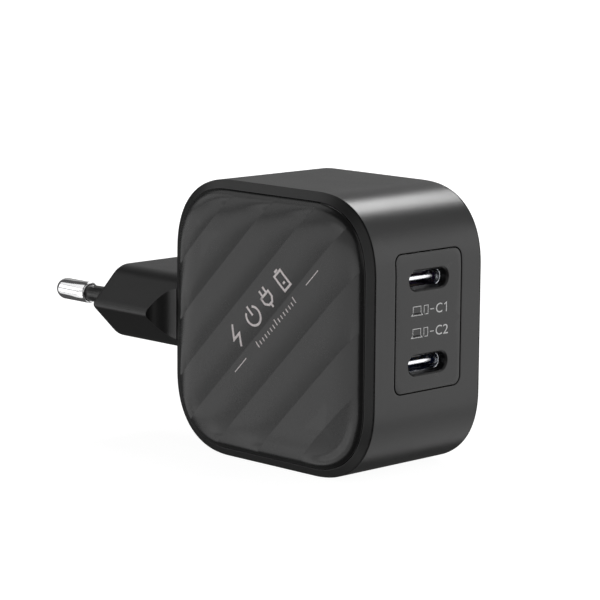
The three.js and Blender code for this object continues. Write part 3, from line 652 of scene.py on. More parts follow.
class CHARGER_OT_bezels(bpy.types.Operator):
    """The two bevelled trim rings"""

    bl_idname = "charger.bezels"
    bl_label = "Bezels"

    LEDGE = 1.5 * MM  # depths below the ring's top
    FOOT = 2.3 * MM
    LIP = 0.3 * MM
    SHELF = 1.84 * MM  # how far the ledge reaches under the cover

    def execute(self, context):
        """A profile of (x, inset) pairs carried round the outline: the bevel outside, a ledge for the cover
        inside, and a spigot that fits into the tube."""
        scene = context.scene
        housing = scene.charger_housing
        outline, width, edge = Outline(housing), housing.bezel_width, housing.edge
        base, top = SHELL_END + housing.seam, BEZEL_TOP
        ledge, foot = top - self.LEDGE, top - self.FOOT
        spigot, shelf = housing.wall + housing.seam, width + self.SHELF
        near, far = ((base + share * (top - base), share * width) for share in (0.12, 0.9))
        profile = [(base, 0), near, far, (top, width), (top - self.LIP, width), (ledge, width),
                   (ledge, shelf), (foot, shelf), (foot, spigot), (base, spigot)]
        soft = [edge, 0, 0, 0.1 * MM, 0, 0, edge, edge, edge, 0]
        material = satin_plastic("bezel_plastic", scene.charger_colours.bezel, 0.34, 0.3, 1.8)
        for side in ("left", "right"):
            skin = on_side(ring(outline, soft_corners(profile, soft)), side == "left")
            piece(f"charger_{side}_bezel", skin, material, [f"{side}_bezel"])
        return {"FINISHED"}


# ---------------------------------------------------------------- covers

class Waves:
    """The cover's surface: a small roll at its edge, then a pillow that rises as 1 - (1 - s)^n over its
    shoulder, less a relief of waves that fades towards the edge. Across the diagonal each wave starts high at
    a crisp line and sinks to the next. Made for +X; `run` grows towards +Z and -Y."""

    POWER = 3.0  # how fast the pillow rises
    TRIM = 0.13 * MM  # crests below the crown
    SWEEP = 2.5  # how late each wave sinks
    FADE = 0.45  # how much shallower the last wave is than the first
    DROP = 0.7 * MM  # depth of the fall after the last line
    COVE = 5.0 * MM  # length of that fall
    FLAT = 0.4 * MM  # border without waves
    GROW = 2.4 * MM  # border over which the waves appear
    ROLL = 1.3 * MM
    ROLL_RISE = 0.45 * MM
    LIP = 0.16 * MM  # width of a crisp line
    LIP_ROWS = np.array([-1, -0.75, -0.5, -0.25, 0, 0.25, 0.5, 0.75, 1, 1.6, 2.5])

    def __init__(self, scene):
        self.sizes, housing = scene.charger_cover, scene.charger_housing
        self.outline = Outline(housing)
        self.inset = housing.bezel_width + housing.seam / 2
        self.edge = BEZEL_TOP - self.sizes.sink
        count, pitch = self.sizes.wave_count, self.sizes.wave_pitch
        self.lines = (np.arange(count) - (count - 1) / 2) * pitch

    def to_plane(self, run, along):
        """(y, z) of a point `run` across the waves and `along` them."""
        y = -(run + along) / math.sqrt(2)
        z = (run - along) / math.sqrt(2)
        return np.stack([y, z], -1) + BODY_CENTRE[1:]

    def run_of(self, points):
        offset = points - BODY_CENTRE[1:]
        return (offset[..., 1] - offset[..., 0]) / math.sqrt(2)

    @staticmethod
    def smooth(share):
        return share ** 2 * (3 - 2 * share)

    def relief(self, run):
        """Depth of the waves below the pillow's crests: step * share^n from each line to the next, where the
        step shrinks along the run. The last wave is level, and past it the surface falls as a parabola."""
        pitch, lines = self.sizes.wave_pitch, self.lines
        share = np.clip((run - lines[0] + pitch) / pitch, 0, None) % 1.0
        along = np.clip((run - lines[0]) / (lines[-1] - lines[0]), 0, 1)
        depth = self.sizes.wave_step * (1 - self.FADE * along) * share ** self.SWEEP
        depth = np.where(run < lines[0] - pitch, 0, depth)
        lifted = np.clip(1 - (1 - share) * pitch / self.LIP, 0, 1)
        depth = depth * (1 - self.smooth(lifted))
        past = np.clip((run - lines[-1]) / self.COVE, 0, 1)
        cove = self.DROP * (1 - (1 - past) ** 2)
        return np.where(run > lines[-2] + self.LIP, cove, depth)

    def x(self, points):
        """X of the cover's surface over points (y, z)."""
        inside = self.outline.inset_of(points, self.inset)
        pillow = 1 - (1 - np.clip(inside / self.sizes.shoulder, 0, 1)) ** self.POWER
        fade = self.smooth(np.clip((inside - self.FLAT) / self.GROW, 0, 1))
        roll = np.sqrt(1 - (1 - np.clip(inside / self.ROLL, 0, 1)) ** 2) * self.ROLL_RISE
        top = self.sizes.crown - self.TRIM - self.ROLL_RISE
        return self.edge + roll + pillow * (top - self.relief(self.run_of(points)) * fade)


class CHARGER_OT_covers(bpy.types.Operator):
    """The two wavy side covers"""

    bl_idname = "charger.covers"
    bl_label = "Covers"

    THICK = 1.25 * MM
    COLUMNS = np.linspace(0, 1, 121)
    CROWDING = 0.9  # how much the columns crowd towards a chord's ends

    def execute(self, context):
        """Chords of the cover's outline along the waves: the grid's rows follow each line exactly."""
        scene = context.scene
        waves = Waves(scene)
        runs, ends = self.chords(waves)
        share = self.COLUMNS * (1 - self.CROWDING) + (1 - np.cos(math.pi * self.COLUMNS)) / 2 * self.CROWDING
        along = ends[0][:, None] * (1 - share) + ends[1][:, None] * share
        flat = waves.to_plane(runs[:, None], along)
        x = waves.x(flat)
        x[:, 0] = x[:, -1] = x[0] = x[-1] = waves.edge
        front = np.concatenate([x[..., None], flat], -1)
        back = front.copy()
        back[..., 0] = BEZEL_TOP - self.THICK
        material = satin_plastic("cover_plastic", scene.charger_colours.cover, 0.25)
        for side in ("left", "right"):
            skin = Skin()
            skin.grid(front)
            skin.grid(back)
            for column in (0, -1):
                rim, foot = front[:, column], back[:, column]
                skin.grid(np.stack([rim + (foot - rim) * part for part in (0, 0.15, 1)], 1))
            piece(f"charger_{side}_cover", on_side(skin, side == "left"), material,
                  [f"{side}_cover"])
        return {"FINISHED"}

    @staticmethod
    def chords(waves):
        """Rows across the waves, close together at each line and at the two ends, and the outline's two
        crossings with each row."""
        edge = waves.outline.at(waves.outline.arc, waves.inset)
        offset = edge - BODY_CENTRE[1:]
        run = (offset[:, 1] - offset[:, 0]) / math.sqrt(2)
        along = -(offset[:, 1] + offset[:, 0]) / math.sqrt(2)
        low, high = run.argmin(), run.argmax()
        lip, pitch, lines = waves.LIP, waves.sizes.wave_pitch, waves.lines
        quarter = np.linspace(0, math.pi / 2, 34)
        last = lines[-1] + 4 * lip
        rows = [run[low] + (lines[0] - lip - run[low]) * (1 - np.cos(quarter)),
                last + (run[high] - last) * np.sin(quarter)]
        rows += [line + lip * waves.LIP_ROWS for line in lines]
        rows += [np.linspace(line + 4 * lip, line + pitch - 2 * lip, 20) for line in lines[:-1]]
        runs = np.unique(np.concatenate(rows))
        order = np.roll(np.arange(len(run) - 1), -min(low, high))
        split = abs(high - low)
        branches = [order[:split + 1], np.concatenate([order[split:], order[:1]])]
        ends = []
        for branch in branches:
            branch = branch[np.argsort(run[branch])]
            ends.append(np.interp(runs, run[branch], along[branch]))
        ends.sort(key=lambda side: side[len(side) // 2])
        return runs, ends


# ---------------------------------------------------------------- printed marks

STROKE_STEP = 0.35 * MM


def stroke(points, width, closed=False):
    """Ribbon of even width along a path in a plane: at each corner the two edges meet on the mitre. Returns
    its two edges as an (n, 2, 2) grid."""
    points = np.asarray(points, float)
    ring_points = np.concatenate([points, points[:1]]) if closed else points
    parts = []
    for start, end in zip(ring_points[:-1], ring_points[1:]):
        count = max(1, int(np.linalg.norm(end - start) / STROKE_STEP))
        parts.append(start + (end - start) * np.linspace(0, 1, count + 1)[:-1, None])
    path = np.concatenate([*parts, ring_points[-1:]])
    before, after = np.roll(path, 1, 0), np.roll(path, -1, 0)
    if closed:
        before[0], after[-1] = path[-2], path[1]
    else:
        before[0], after[-1] = 2 * path[0] - path[1], 2 * path[-1] - path[-2]
    a, b = path - before, after - path
    a /= np.linalg.norm(a, axis=1, keepdims=True)
    b /= np.linalg.norm(b, axis=1, keepdims=True)
    mitre = a + b
    mitre /= np.linalg.norm(mitre, axis=1, keepdims=True)
    normal = np.stack([-mitre[:, 1], mitre[:, 0]], -1)
    reach = width / 2 / np.maximum((mitre * a).sum(1), 0.35)
    return np.stack([path - normal * reach[:, None], path + normal * reach[:, None]], 1)


INK_DEPTH = 0.03 * MM


def printed(skin, ribbons, place):
    """Ribbons laid on a surface as thin closed strips: `place` gives points in space for flat points and a
    height over the surface."""
    for ribbon in ribbons:
        low, high = place(ribbon, -INK_DEPTH), place(ribbon, INK_DEPTH / 2)
        sides = np.stack([high[:, 0], high[:, 1], low[:, 1], low[:, 0]], 0)
        skin.loft(np.swapaxes(sides, 0, 1), close_start=True, close_end=True)


def pictograms(size, width):
    """Bolt, standby sign, plug and battery, each centred on its own place, one `size` high. Their lines are
    in half sizes; True marks a closed one."""
    turn = np.radians(np.linspace(125, 415, 40))
    standby = np.stack([0.85 * np.cos(turn), 0.85 * np.sin(turn) - 0.08], -1)
    signs = (
        [([(0.35, 1), (-0.5, -0.08), (0.45, -0.08), (-0.3, -1)], False)],
        [(standby, False), ([(0, 1), (0, 0)], False)],
        [([(-0.6, 0.35), (0.6, 0.35), (0.6, -0.25), (0.25, -0.6), (-0.25, -0.6), (-0.6, -0.25)], True),
         ([(-0.3, 0.35), (-0.3, 1)], False), ([(0.3, 0.35), (0.3, 1)], False), ([(0, -0.6), (0, -1)], False)],
        [([(-0.5, -0.9), (0.5, -0.9), (0.5, 0.7), (-0.5, 0.7)], True), ([(-0.22, 0.95), (0.22, 0.95)], False),
         ([(-0.15, -0.35), (0.15, -0.35)], False)],
    )
    return [[stroke(np.asarray(path) * size / 2, width, closed) for path, closed in sign] for sign in signs]


class CHARGER_OT_cover_mark(bpy.types.Operator):
    """Generic pictograms printed along the middle wave of the left cover"""

    bl_idname = "charger.cover_mark"
    bl_label = "Cover mark"

    SIGN_HEIGHT = 4 * MM  # places and rows are along and across the middle wave
    SIGN_ROW = 3.25 * MM
    SIGN_PLACES = (-6.3 * MM, -0.4 * MM, 4.6 * MM, 9.8 * MM)
    TICKS = np.linspace(-2.9, 9.9, 15) * MM
    TICK_ROW = -1.95 * MM
    TICK_HEIGHTS = (1.3 * MM, 0.8 * MM)  # every seventh is taller
    TICK_WIDTH = 0.2 * MM
    DASH_ROW = -1.3 * MM
    DASH_PLACES = (-9.0 * MM, 16.1 * MM)
    DASH_REACH = 2.05 * MM
    DASH_WIDTH = 0.16 * MM

    def execute(self, context):
        scene = context.scene
        waves = Waves(scene)

        def place(flat, lift):
            mirrored = waves.to_plane(-flat[..., 1], flat[..., 0])
            return np.stack([-waves.x(mirrored) - lift, mirrored[..., 0],
                             2 * BODY_CENTRE[2] - mirrored[..., 1]], -1)

        ribbons, signs = [], pictograms(self.SIGN_HEIGHT, scene.charger_cover.mark_stroke)
        for shift, sign in zip(self.SIGN_PLACES, signs):
            ribbons += [ribbon + (shift, self.SIGN_ROW) for ribbon in sign]
        for i, at in enumerate(self.TICKS):
            top = self.TICK_ROW + self.TICK_HEIGHTS[i % 7 != 0]
            ribbons.append(stroke([(at, self.TICK_ROW), (at, top)], self.TICK_WIDTH))
        for at in self.DASH_PLACES:
            ends = [(at + reach, self.DASH_ROW) for reach in (-self.DASH_REACH, self.DASH_REACH)]
            ribbons.append(stroke(ends, self.DASH_WIDTH))
        skin = Skin()
        printed(skin, ribbons, place)
        piece("charger_cover_mark", skin, ink("mark_ink", scene.charger_colours.mark))
        return {"FINISHED"}


def lettering(text):
    """Flat faces of a short text in Blender's own font, as points (x, z) and faces."""
    curve = bpy.data.curves.new("label", "FONT")
    curve.body, curve.resolution_u = text, 4
    holder = bpy.data.objects.new("label", curve)
    bpy.context.scene.collection.objects.link(holder)
    bpy.context.view_layer.update()
    flat = bpy.data.meshes.new_from_object(holder.evaluated_get(bpy.context.evaluated_depsgraph_get()))
    points = np.empty(len(flat.vertices) * 3)
    flat.vertices.foreach_get("co", points)
    faces = [list(p.vertices) for p in flat.polygons]
    bpy.data.objects.remove(holder)
    bpy.data.curves.remove(curve)
    bpy.data.meshes.remove(flat)
    return points.reshape(-1, 3)[:, :2], faces


class CHARGER_OT_port_labels(bpy.types.Operator):
    """Laptop, phone and number printed for each port on the insert"""

    bl_idname = "charger.port_labels"
    bl_label = "Port labels"

    ROWS = {"1": 4.8 * MM, "2": 0.9 * MM}  # heights over the housing's centre
    SCREEN = [(-3.9, 0.45), (-1.95, 0.45), (-1.95, 1.66), (-3.9, 1.66)]
    FOOT = [(-3.95, 0.45), (-4.3, 0.12), (-1.55, 0.12), (-1.9, 0.45)]
    PHONE = [(-1.15, 0.14), (-0.16, 0.14), (-0.16, 1.66), (-1.15, 1.66)]
    DASH = [(0.42, 0.85), (1.35, 0.85)]
    ONE = [(3.95, 1.32), (4.5, 1.62), (4.5, 0.0)]
    LETTER = ("C", 1.85 * MM, 1.08)  # text, left end and stretch
    TWO = ("2", 3.75 * MM, 1.2)
    FINE = 0.12 * MM
    BOLD = 0.2 * MM

    def execute(self, context):
        """Outlines are printed as strips, and letters are faces of Blender's own font made thick."""
        scene = context.scene
        width, tall = scene.charger_ports.label_stroke, scene.charger_ports.label_height
        skin, letters, faces, count = Skin(), [], [], 0
        for number, lift in self.ROWS.items():
            at = np.array([0, BODY_CENTRE[2] + lift - tall / 2])
            outlines = [(self.SCREEN, self.FINE, True), (self.FOOT, self.FINE, True),
                        (self.PHONE, self.FINE, True), (self.DASH, width, False)]
            if number == "1":
                outlines.append((self.ONE, self.BOLD, False))
            printed(skin, [stroke(np.array(path) * MM + at, wide, closed) for path, wide, closed in outlines],
                    lambda flat, up: plane_to_space(flat, FRONT_FACE - up))
            for glyph, start, wide in (self.LETTER, self.TWO)[:int(number)]:
                points, text_faces = lettering(glyph)
                scale = tall / (points[:, 1].max() - points[:, 1].min()) * np.array([wide, 1])
                points = (points - points.min(0)) * scale + at + (start, 0)
                letters.append(plane_to_space(points, FRONT_FACE))
                faces += [[v + count for v in face] for face in text_faces]
                count += len(points)
        material = ink("label_ink", scene.charger_colours.label)
        piece("charger_port_labels", skin, material)
        mesh = bpy.data.meshes.new("charger_port_numbers")
        mesh.from_pydata(np.concatenate(letters).tolist(), [], faces)
        solid = piece("charger_port_numbers", mesh, material).modifiers.new("ink", "SOLIDIFY")
        solid.thickness, solid.offset = INK_DEPTH, 0
        return {"FINISHED"}


# ---------------------------------------------------------------- ports

class CHARGER_OT_port_insert(bpy.types.Operator):
    """Flush plate around the two ports"""

    bl_idname = "charger.port_insert"
    bl_label = "Port insert"

    THICK = 3 * MM
    LIP = 0.07 * MM

    def execute(self, context):
        """Two halves of rays from each port's centre to the plate's outline, on the housing's own front
        surface; the outline's edge is carried along the signed distance's gradient."""
        scene = context.scene
        ports, housing = scene.charger_ports, scene.charger_housing
        outline, edge, thick = Outline(housing), housing.edge, self.THICK
        plate = rounded_box(INSERT_PLACE, ports.insert_width, ports.insert_height, ports.insert_radius)
        middle = (PORTS["upper"][2][2] + PORTS["lower"][2][2]) / 2

        def on_face(flat, down):
            return plane_to_space(flat, outline.depth_at(flat[:, 1], True) + down)

        skin, rims = Skin(), []
        for place, side in (("upper", 1), ("lower", -1)):
            centre = PORTS[place][2][[0, 2]]
            hole = rounded_box(centre, ports.hole_width, ports.hole_height, ports.hole_height / 2 - TINY * 2)

            def half(points, side=side):
                return np.maximum(plate(points) + edge, (middle - points[..., 1]) * side)

            angles = self.angles(plate, centre, side, middle, ports, edge)
            border = cast(half, centre, angles)
            start = cast(hole, centre, angles, ports.chamfer + 0.25 * MM)
            rows = [start + (border - start) * share for share in (1, 0.75, 0.5, 0.25, 0.08, 0)]
            front, back = [on_face(flat, 0) for flat in rows], [on_face(flat, thick) for flat in rows]
            for beyond, down in self.hole_profile(ports.chamfer):
                front.append(on_face(cast(hole, centre, angles, beyond), down))
            back.append(on_face(cast(hole, centre, angles), thick))
            skin.loft(front + back[::-1])
            outer = np.abs(border[:, 1] - middle) > TINY
            ends = np.abs(np.abs(border[:, 0] - centre[0]) - (ports.insert_width / 2 - edge)) < TINY
            rims.append(border[outer | ends])
        loop = self.round_trip(rims)
        steps = arc_steps(edge, 3)
        rows = [on_face(push(loop, plate, sideways), down) for sideways, down in steps]
        rows.append(rows[-1] + (0, thick - 2 * edge, 0))
        rows += [on_face(push(loop, plate, sideways), thick - down) for sideways, down in steps[::-1]]
        skin.loft(rows)
        piece("charger_port_insert", skin, satin_plastic("insert_plastic", scene.charger_colours.shell, 0.32),
              ["port_insert"])
        return {"FINISHED"}

    @staticmethod
    def angles(plate, centre, side, middle, ports, edge):
        """Rays of one port: evenly round it, exactly to the ends of the middle line, and close together at
        the plate's round corners."""
        far = cast(plate, centre, np.array([side * math.pi / 2]), -edge)[0]
        corner = math.atan2(abs(centre[1] - middle), ports.insert_width / 2 - edge)
        top = math.atan2(abs(far[1] - centre[1]), ports.insert_width / 2 - ports.insert_radius)
        near = np.linspace(-0.09, 0.06, 12)
        even = np.linspace(0, 2 * math.pi, 161)[:-1]
        angles = np.concatenate([even, [-corner, math.pi + corner], top + near, math.pi - top - near])
        return np.unique(np.round(np.mod(angles, 2 * math.pi), 9)) * side

    def hole_profile(self, chamfer):
        """(distance outside the hole, depth) pairs: a soft lip, the chamfer, and a cone that narrows before
        a last step."""
        lip = self.LIP
        return [(chamfer + lip, 0), (chamfer + lip * 0.3, lip * 0.15), (chamfer - lip * 0.35, lip * 0.6),
                (lip, chamfer * 0.85 - lip * 0.4), (0.02 * MM, chamfer * 0.85 + lip * 0.5),
                (0, chamfer + lip), (-0.34 * MM, 1.28 * MM), (-0.35 * MM, 1.36 * MM), (0, 1.38 * MM),
                (0, 1.8 * MM)]

    @staticmethod
    def round_trip(rims):
        """The plate's border points of both halves in one order round its centre, each of them once."""
        points = np.concatenate(rims)
        points = points[np.argsort(angles_to(points, INSERT_PLACE))]
        apart = np.linalg.norm(points - np.roll(points, 1, 0), axis=1)
        return points[apart > TINY]


def lofted(rows, centre, count=96):
    """Closed skin through loops given as (shape, level, y): each is met by the same rays from the centre."""
    angles = np.linspace(0, 2 * math.pi, count + 1)[:-1]
    skin = Skin()
    skin.loft([plane_to_space(cast(shape, centre, angles, level), y) for shape, level, y in rows],
              close_start=True, close_end=True)
    return skin


def blunt(shape, front, radius, steps):
    """Loops of a shape whose front end is rounded, for `lofted`."""
    return [(shape, -down, front + radius - side) for side, down in arc_steps(radius, steps)[::-1]]


class CHARGER_OT_receptacles(bpy.types.Operator):
    """Metal shells, tongues and contacts of the two USB-C receptacles"""

    bl_idname = "charger.receptacles"
    bl_label = "Receptacles"

    WALL = 0.3 * MM
    LIP = 0.1 * MM
    MOUTH = 0.62 * MM  # depths behind the housing's front face
    TONGUE = 1.5 * MM
    CONTACTS = 2.1 * MM
    TONGUE_END = 0.6 * MM  # before the shell's back
    BASE_DEPTH = 1.6 * MM
    # width, height and corner radius
    BLADE = (6.65 * MM, 0.7 * MM, 0.25 * MM)
    BASE = (7.6 * MM, 1.9 * MM, 0.9 * MM)
    EDGE_PLATE = (6.7 * MM, 0.76 * MM, 0.3 * MM)
    COLLAR = (6.85 * MM, 0.86 * MM, 0.3 * MM)
    CONTACT = (0.28 * MM, 0.06 * MM, 0.02 * MM)
    CONTACT_LENGTH = 3 * MM
    CONTACT_COUNT = 12
    CONTACT_PITCH = 0.5 * MM
    # Painted reflections: the tongues' plastics are tinted purple and blue to stand in for tinted reflections
    # inside the ports
    PAINTED_REFLECTION_PURPLE = (0.05, 0.02, 0.09)
    BLUE = (0.02, 0.04, 0.12)

    def execute(self, context):
        """Loops of a stadium or a rounded rectangle carried along Y, and rows of thin contact bars."""
        colours = context.scene.charger_colours
        steel = hammered_metal("receptacle_steel", colours.steel, 0.12)
        # tongue plastics in the painted reflection tints, purple for the upper port and blue for the lower
        plastic = {
            "upper": satin_plastic("tongue_painted_reflection_purple", self.PAINTED_REFLECTION_PURPLE, 0.3, 0.3),
            "lower": satin_plastic("tongue_painted_reflection_blue", self.BLUE, 0.3, 0.3),
        }
        gold = plated_metal("contact_gold", colours.gold, 0.2, (900, 60, 900))
        nickel = plated_metal("tongue_plate", (0.93, 0.93, 0.95), 0.25, (500, 60, 500))
        for place, (low, high, middle) in PORTS.items():
            centre, size = middle[[0, 2]], (high - low)[[0, 2]]
            piece(f"charger_usb_shell_{place}", self.shell(centre, size, low[1] + self.MOUTH, high[1]), steel,
                  [f"usb_shell_{place}"])
            self.tongue(place, centre, low[1] + self.TONGUE, high[1] - self.TONGUE_END, plastic[place],
                        nickel)
            self.contacts(place, centre, low[1] + self.CONTACTS, gold)
        return {"FINISHED"}

    def shell(self, centre, size, mouth, back):
        """Drawn shell with a rolled lip, closed at the back inside and outside."""
        wall, lip = self.WALL, self.LIP
        shape = rounded_box(centre, size[0], size[1], size[1] / 2 - 2 * TINY)
        rows = [(0, back), (0, mouth + lip), (-0.3 * lip, mouth + 0.3 * lip), (-lip, mouth),
                (lip - wall, mouth), (0.3 * lip - wall, mouth + 0.3 * lip), (-wall, mouth + lip),
                (-wall, back - 0.5 * MM)]
        return lofted([(shape, level, y) for level, y in rows], centre, 112)

    def tongue(self, place, centre, front, back, plastic, nickel):
        """Tongue with a rounded front edge that widens into its base, with a bright front and a collar."""
        blade, base, plate, collar = (rounded_box(centre, *sizes) for sizes in (
            self.BLADE, self.BASE, self.EDGE_PLATE, self.COLLAR))
        shoulder, cap = back - self.BASE_DEPTH, front + 0.5 * MM
        rows = blunt(blade, front, 0.16 * MM, 3)
        rows += [(blade, 0, cap), (blade, 0, shoulder - 0.05 * MM), (base, -0.1 * MM, shoulder),
                 (base, 0, shoulder + 0.1 * MM), (base, 0, back)]
        piece(f"charger_usb_tongue_{place}", lofted(rows, centre), plastic,
              [f"usb_tongue_{place}"])
        rows = blunt(plate, front - 0.02 * MM, 0.2 * MM, 4) + [(plate, 0, cap), (plate, -0.04 * MM, cap)]
        piece(f"charger_usb_edge_{place}", lofted(rows, centre), nickel)
        rows = [(collar, -inset * MM, shoulder - ahead * MM)
                for inset, ahead in ((0, 0.2), (0, 1.3), (0.05, 1.35), (0.09, 1.35))]
        piece(f"charger_usb_collar_{place}", lofted(rows, centre), nickel)

    def contacts(self, place, centre, front, gold):
        """A row of gold bars above the tongue and one below it."""
        skin = Skin()
        angles = np.linspace(0, 2 * math.pi, 9)[:-1]
        for side in (1, -1):
            for i in range(self.CONTACT_COUNT):
                across = (i - (self.CONTACT_COUNT - 1) / 2) * self.CONTACT_PITCH
                middle = centre + np.array([across, side * self.BLADE[1] / 2])
                loop = cast(rounded_box(middle, *self.CONTACT), middle, angles)
                skin.loft([plane_to_space(loop, front), plane_to_space(loop, front + self.CONTACT_LENGTH)],
                          close_start=True, close_end=True)
        piece(f"charger_usb_contacts_{place}", skin, gold)


# ---------------------------------------------------------------- plug

class HexagonQuarter:
    """Quarter of the boss's section as a curve of arc length: from the side ridge's rounded nose along the 45
    degree incline and round the long edge to the middle of the flat top."""

    def __init__(self, plug, height):
        ridge, half = plug.ridge_width / 2, height / 2
        nose, edge = plug.nose_radius, plug.edge_radius
        slope = math.radians(45)
        nose_centre = ridge - nose / math.sin(slope)
        a = np.linspace(0, slope, 24)
        b = np.linspace(slope, math.pi / 2, 60)
        edge_centre = np.array([ridge - half - edge * math.tan(slope / 2), half - edge])
        nose_normal, edge_normal = (np.stack([np.cos(turn), np.sin(turn)], -1) for turn in (a, b))
        self.points = np.concatenate([(nose_centre, 0) + nose * nose_normal, edge_centre + edge * edge_normal,
                                      [[0, half]]])
        self.normals = np.concatenate([nose_normal, edge_normal, [[0, 1]]])
        self.arc = np.concatenate([[0], np.cumsum(np.linalg.norm(np.diff(self.points, axis=0), axis=1))])

    def loop(self, limit, inset=0.0):
        """Whole section clipped at |x| = limit; the clip's corner is always the same point of the loop."""
        corner = max(np.interp(-limit, -self.points[:, 0], self.arc), 0.35 * MM)
        arc = np.concatenate([np.linspace(0, corner, 9)[:-1],
                              corner + (self.arc[-1] - corner) * np.linspace(0, 1, 45)])
        point = along_curve(arc, self.arc, self.points) - inset * along_curve(arc, self.arc, self.normals)
        point[:, 0] = np.minimum(point[:, 0], limit)
        upper = np.concatenate([point, (point * (-1, 1))[-2::-1]])
        return np.concatenate([upper, (upper * (1, -1))[-2:0:-1]])


class CHARGER_OT_plug_boss(bpy.types.Operator):
    """Hexagonal body of the Europlug with its finger coves"""

    bl_idname = "charger.plug_boss"
    bl_label = "Plug boss"

    NECK = (21 * MM, 10.4 * MM, 0.6 * MM)
    NECK_REACH = 3.2 * MM
    COVE_START = BACK_FACE - 0.4 * MM

    def execute(self, context):
        """Sections of the hexagon along Y. Beside the housing each is clipped by the coves' ellipses, whose
        centres lie on the ridges; the engagement face is two fans of rays from the pins' holes."""
        scene = context.scene
        plug, housing = scene.charger_plug, scene.charger_housing
        section = HexagonQuarter(plug, BOSS_HIGH[2] - BOSS_LOW[2])
        centre = BOSS_CENTRE[[0, 2]]
        cove, reach, ridge = plug.cove_radius, plug.cove_length, plug.ridge_width / 2
        root, face, edge = BACK_FACE + housing.seam, BOSS_HIGH[1], plug.face_edge
        cove_end = self.COVE_START + reach
        angles = np.linspace(math.asin((root - self.COVE_START) / reach), math.pi / 2, 26)
        loops = []
        for angle in angles:
            loop = section.loop(ridge - cove * math.cos(angle))
            loops.append(plane_to_space(loop + centre, self.COVE_START + reach * math.sin(angle)))
        for share in (0.05, 0.4, 0.8, 0.97):
            y = cove_end + (face - edge - cove_end) * share
            loops.append(plane_to_space(section.loop(ridge) + centre, y))
        for side, down in arc_steps(edge, 5)[::-1]:
            loops.append(plane_to_space(section.loop(ridge, edge - side) + centre, face - down))
        skin = Skin()
        base = section.loop(ridge - cove * math.cos(angles[0])) + centre
        foot = cast(rounded_box(centre, *self.NECK), centre, angles_to(base, centre))
        start = [plane_to_space(foot, root - self.NECK_REACH), plane_to_space(foot, root),
                 plane_to_space((foot + base) / 2, root)]
        skin.loft(start + loops, close_start=True)
        self.face(skin, section.loop(ridge, edge) + centre, centre, face, plug)
        piece("charger_plug_boss", skin, satin_plastic("boss_plastic", scene.charger_colours.boss, 0.37),
              ["plug_boss"])
        return {"FINISHED"}

    @staticmethod
    def face(skin, border, centre, y, plug):
        """Engagement face: each half runs from its pin's hole to the border and the middle line."""
        edge, count = 0.12 * MM, len(border) // 4
        middle = np.linspace(1, -1, 15)[:, None] * (border[count] - centre) + centre
        halves = {
            "right": np.concatenate([border[3 * count:], border[:count + 1], middle[1:-1]]),
            "left": np.concatenate([border[count:3 * count + 1], middle[::-1][1:-1]]),
        }
        for side, loop in halves.items():
            hole_centre = PINS[side][2][[0, 2]]
            wide = plug.sleeve_root + 0.2 * MM
            hole = rounded_box(hole_centre, wide, wide, wide / 2 - 2 * TINY)
            angles = angles_to(loop, hole_centre)
            start = cast(hole, hole_centre, angles, edge + 0.1 * MM)
            rows = [plane_to_space(start + (loop - start) * share, y)
                    for share in (1, 0.97, 0.6, 0.3, 0.1, 0)]
            for sideways, down in arc_steps(edge, 3):
                rows.append(plane_to_space(cast(hole, hole_centre, angles, edge - sideways), y - down))
            rows.append(plane_to_space(cast(hole, hole_centre, angles), y - 4 * MM))
            skin.loft(rows, close_end=True)


def turned(profile, x, z):
    """Skin of revolution about a line along Y through (x, z), over (radius, y) pairs from pole to pole."""
    radius, y = np.array(profile).T
    angle = np.linspace(0, 2 * math.pi, 65)[:-1, None]
    points = np.stack([x + radius * np.cos(angle), np.broadcast_to(y, (len(angle), len(y))),
                       z + radius * np.sin(angle)], -1)
    skin = Skin()
    skin.grid(points, around=True)
    return skin


class CHARGER_OT_pins(bpy.types.Operator):
    """Nickel pins with round tips and their insulating sleeves"""

    bl_idname = "charger.pins"
    bl_label = "Pins and sleeves"

    SHANK = 1 * MM  # radius of the thin part inside the sleeve
    GAP = 0.06 * MM
    SOFT = 0.08 * MM  # rounding of the sleeve's end
    SLEEVE_DEPTH = 3.9 * MM  # part of a sleeve inside the boss

    def execute(self, context):
        """Profiles of (radius, y) turned about each pin's axis; the tip is a quarter circle."""
        scene = context.scene
        plug, colours = scene.charger_plug, scene.charger_colours
        nickel = plated_metal("pin_nickel", colours.nickel, 0.07, (60, 3000, 60), 0.98, 0.06)
        sleeve_plastic = satin_plastic("sleeve_plastic", colours.sleeve, 0.32, 0.3)
        radius, bevel = plug.pin_diameter / 2, plug.pin_shoulder
        for side, (low, high, middle) in PINS.items():
            start = BOSS_HIGH[1] + plug.sleeve_length
            shank, tip, metal = self.SHANK, high[1], start + self.GAP
            profile = [(0, low[1]), (shank, low[1]), (shank, metal), (radius - bevel - 0.05 * MM, metal),
                       (radius - bevel, metal + 0.02 * MM), (radius - 0.05 * MM, metal + bevel - 0.03 * MM),
                       (radius - 0.012 * MM, metal + bevel + 0.02 * MM), (radius, metal + bevel + 0.08 * MM),
                       (radius, tip - radius - 3 * MM), (radius, tip - radius)]
            for angle in np.linspace(0, math.pi / 2, 17)[1:]:
                profile.append((radius * math.cos(angle), tip - radius + radius * math.sin(angle)))
            profile[-1] = (0, tip)
            piece(f"charger_pin_{side}", turned(profile, middle[0], middle[2]), nickel,
                  [f"pin_{side}"])
            root, end = plug.sleeve_root / 2, plug.sleeve_tip / 2
            bore, soft, foot = shank + 0.05 * MM, self.SOFT, BOSS_HIGH[1] - self.SLEEVE_DEPTH
            profile = [(bore, foot), (root, foot), (root, BOSS_HIGH[1]), (end, start - soft),
                       (end - 0.3 * soft, start - 0.3 * soft), (end - soft, start), (bore, start),
                       (bore, foot)]
            piece(f"charger_sleeve_{side}", turned(profile, middle[0], middle[2]), sleeve_plastic,
                  [f"sleeve_{side}"])
        return {"FINISHED"}


# ---------------------------------------------------------------- pieces inside

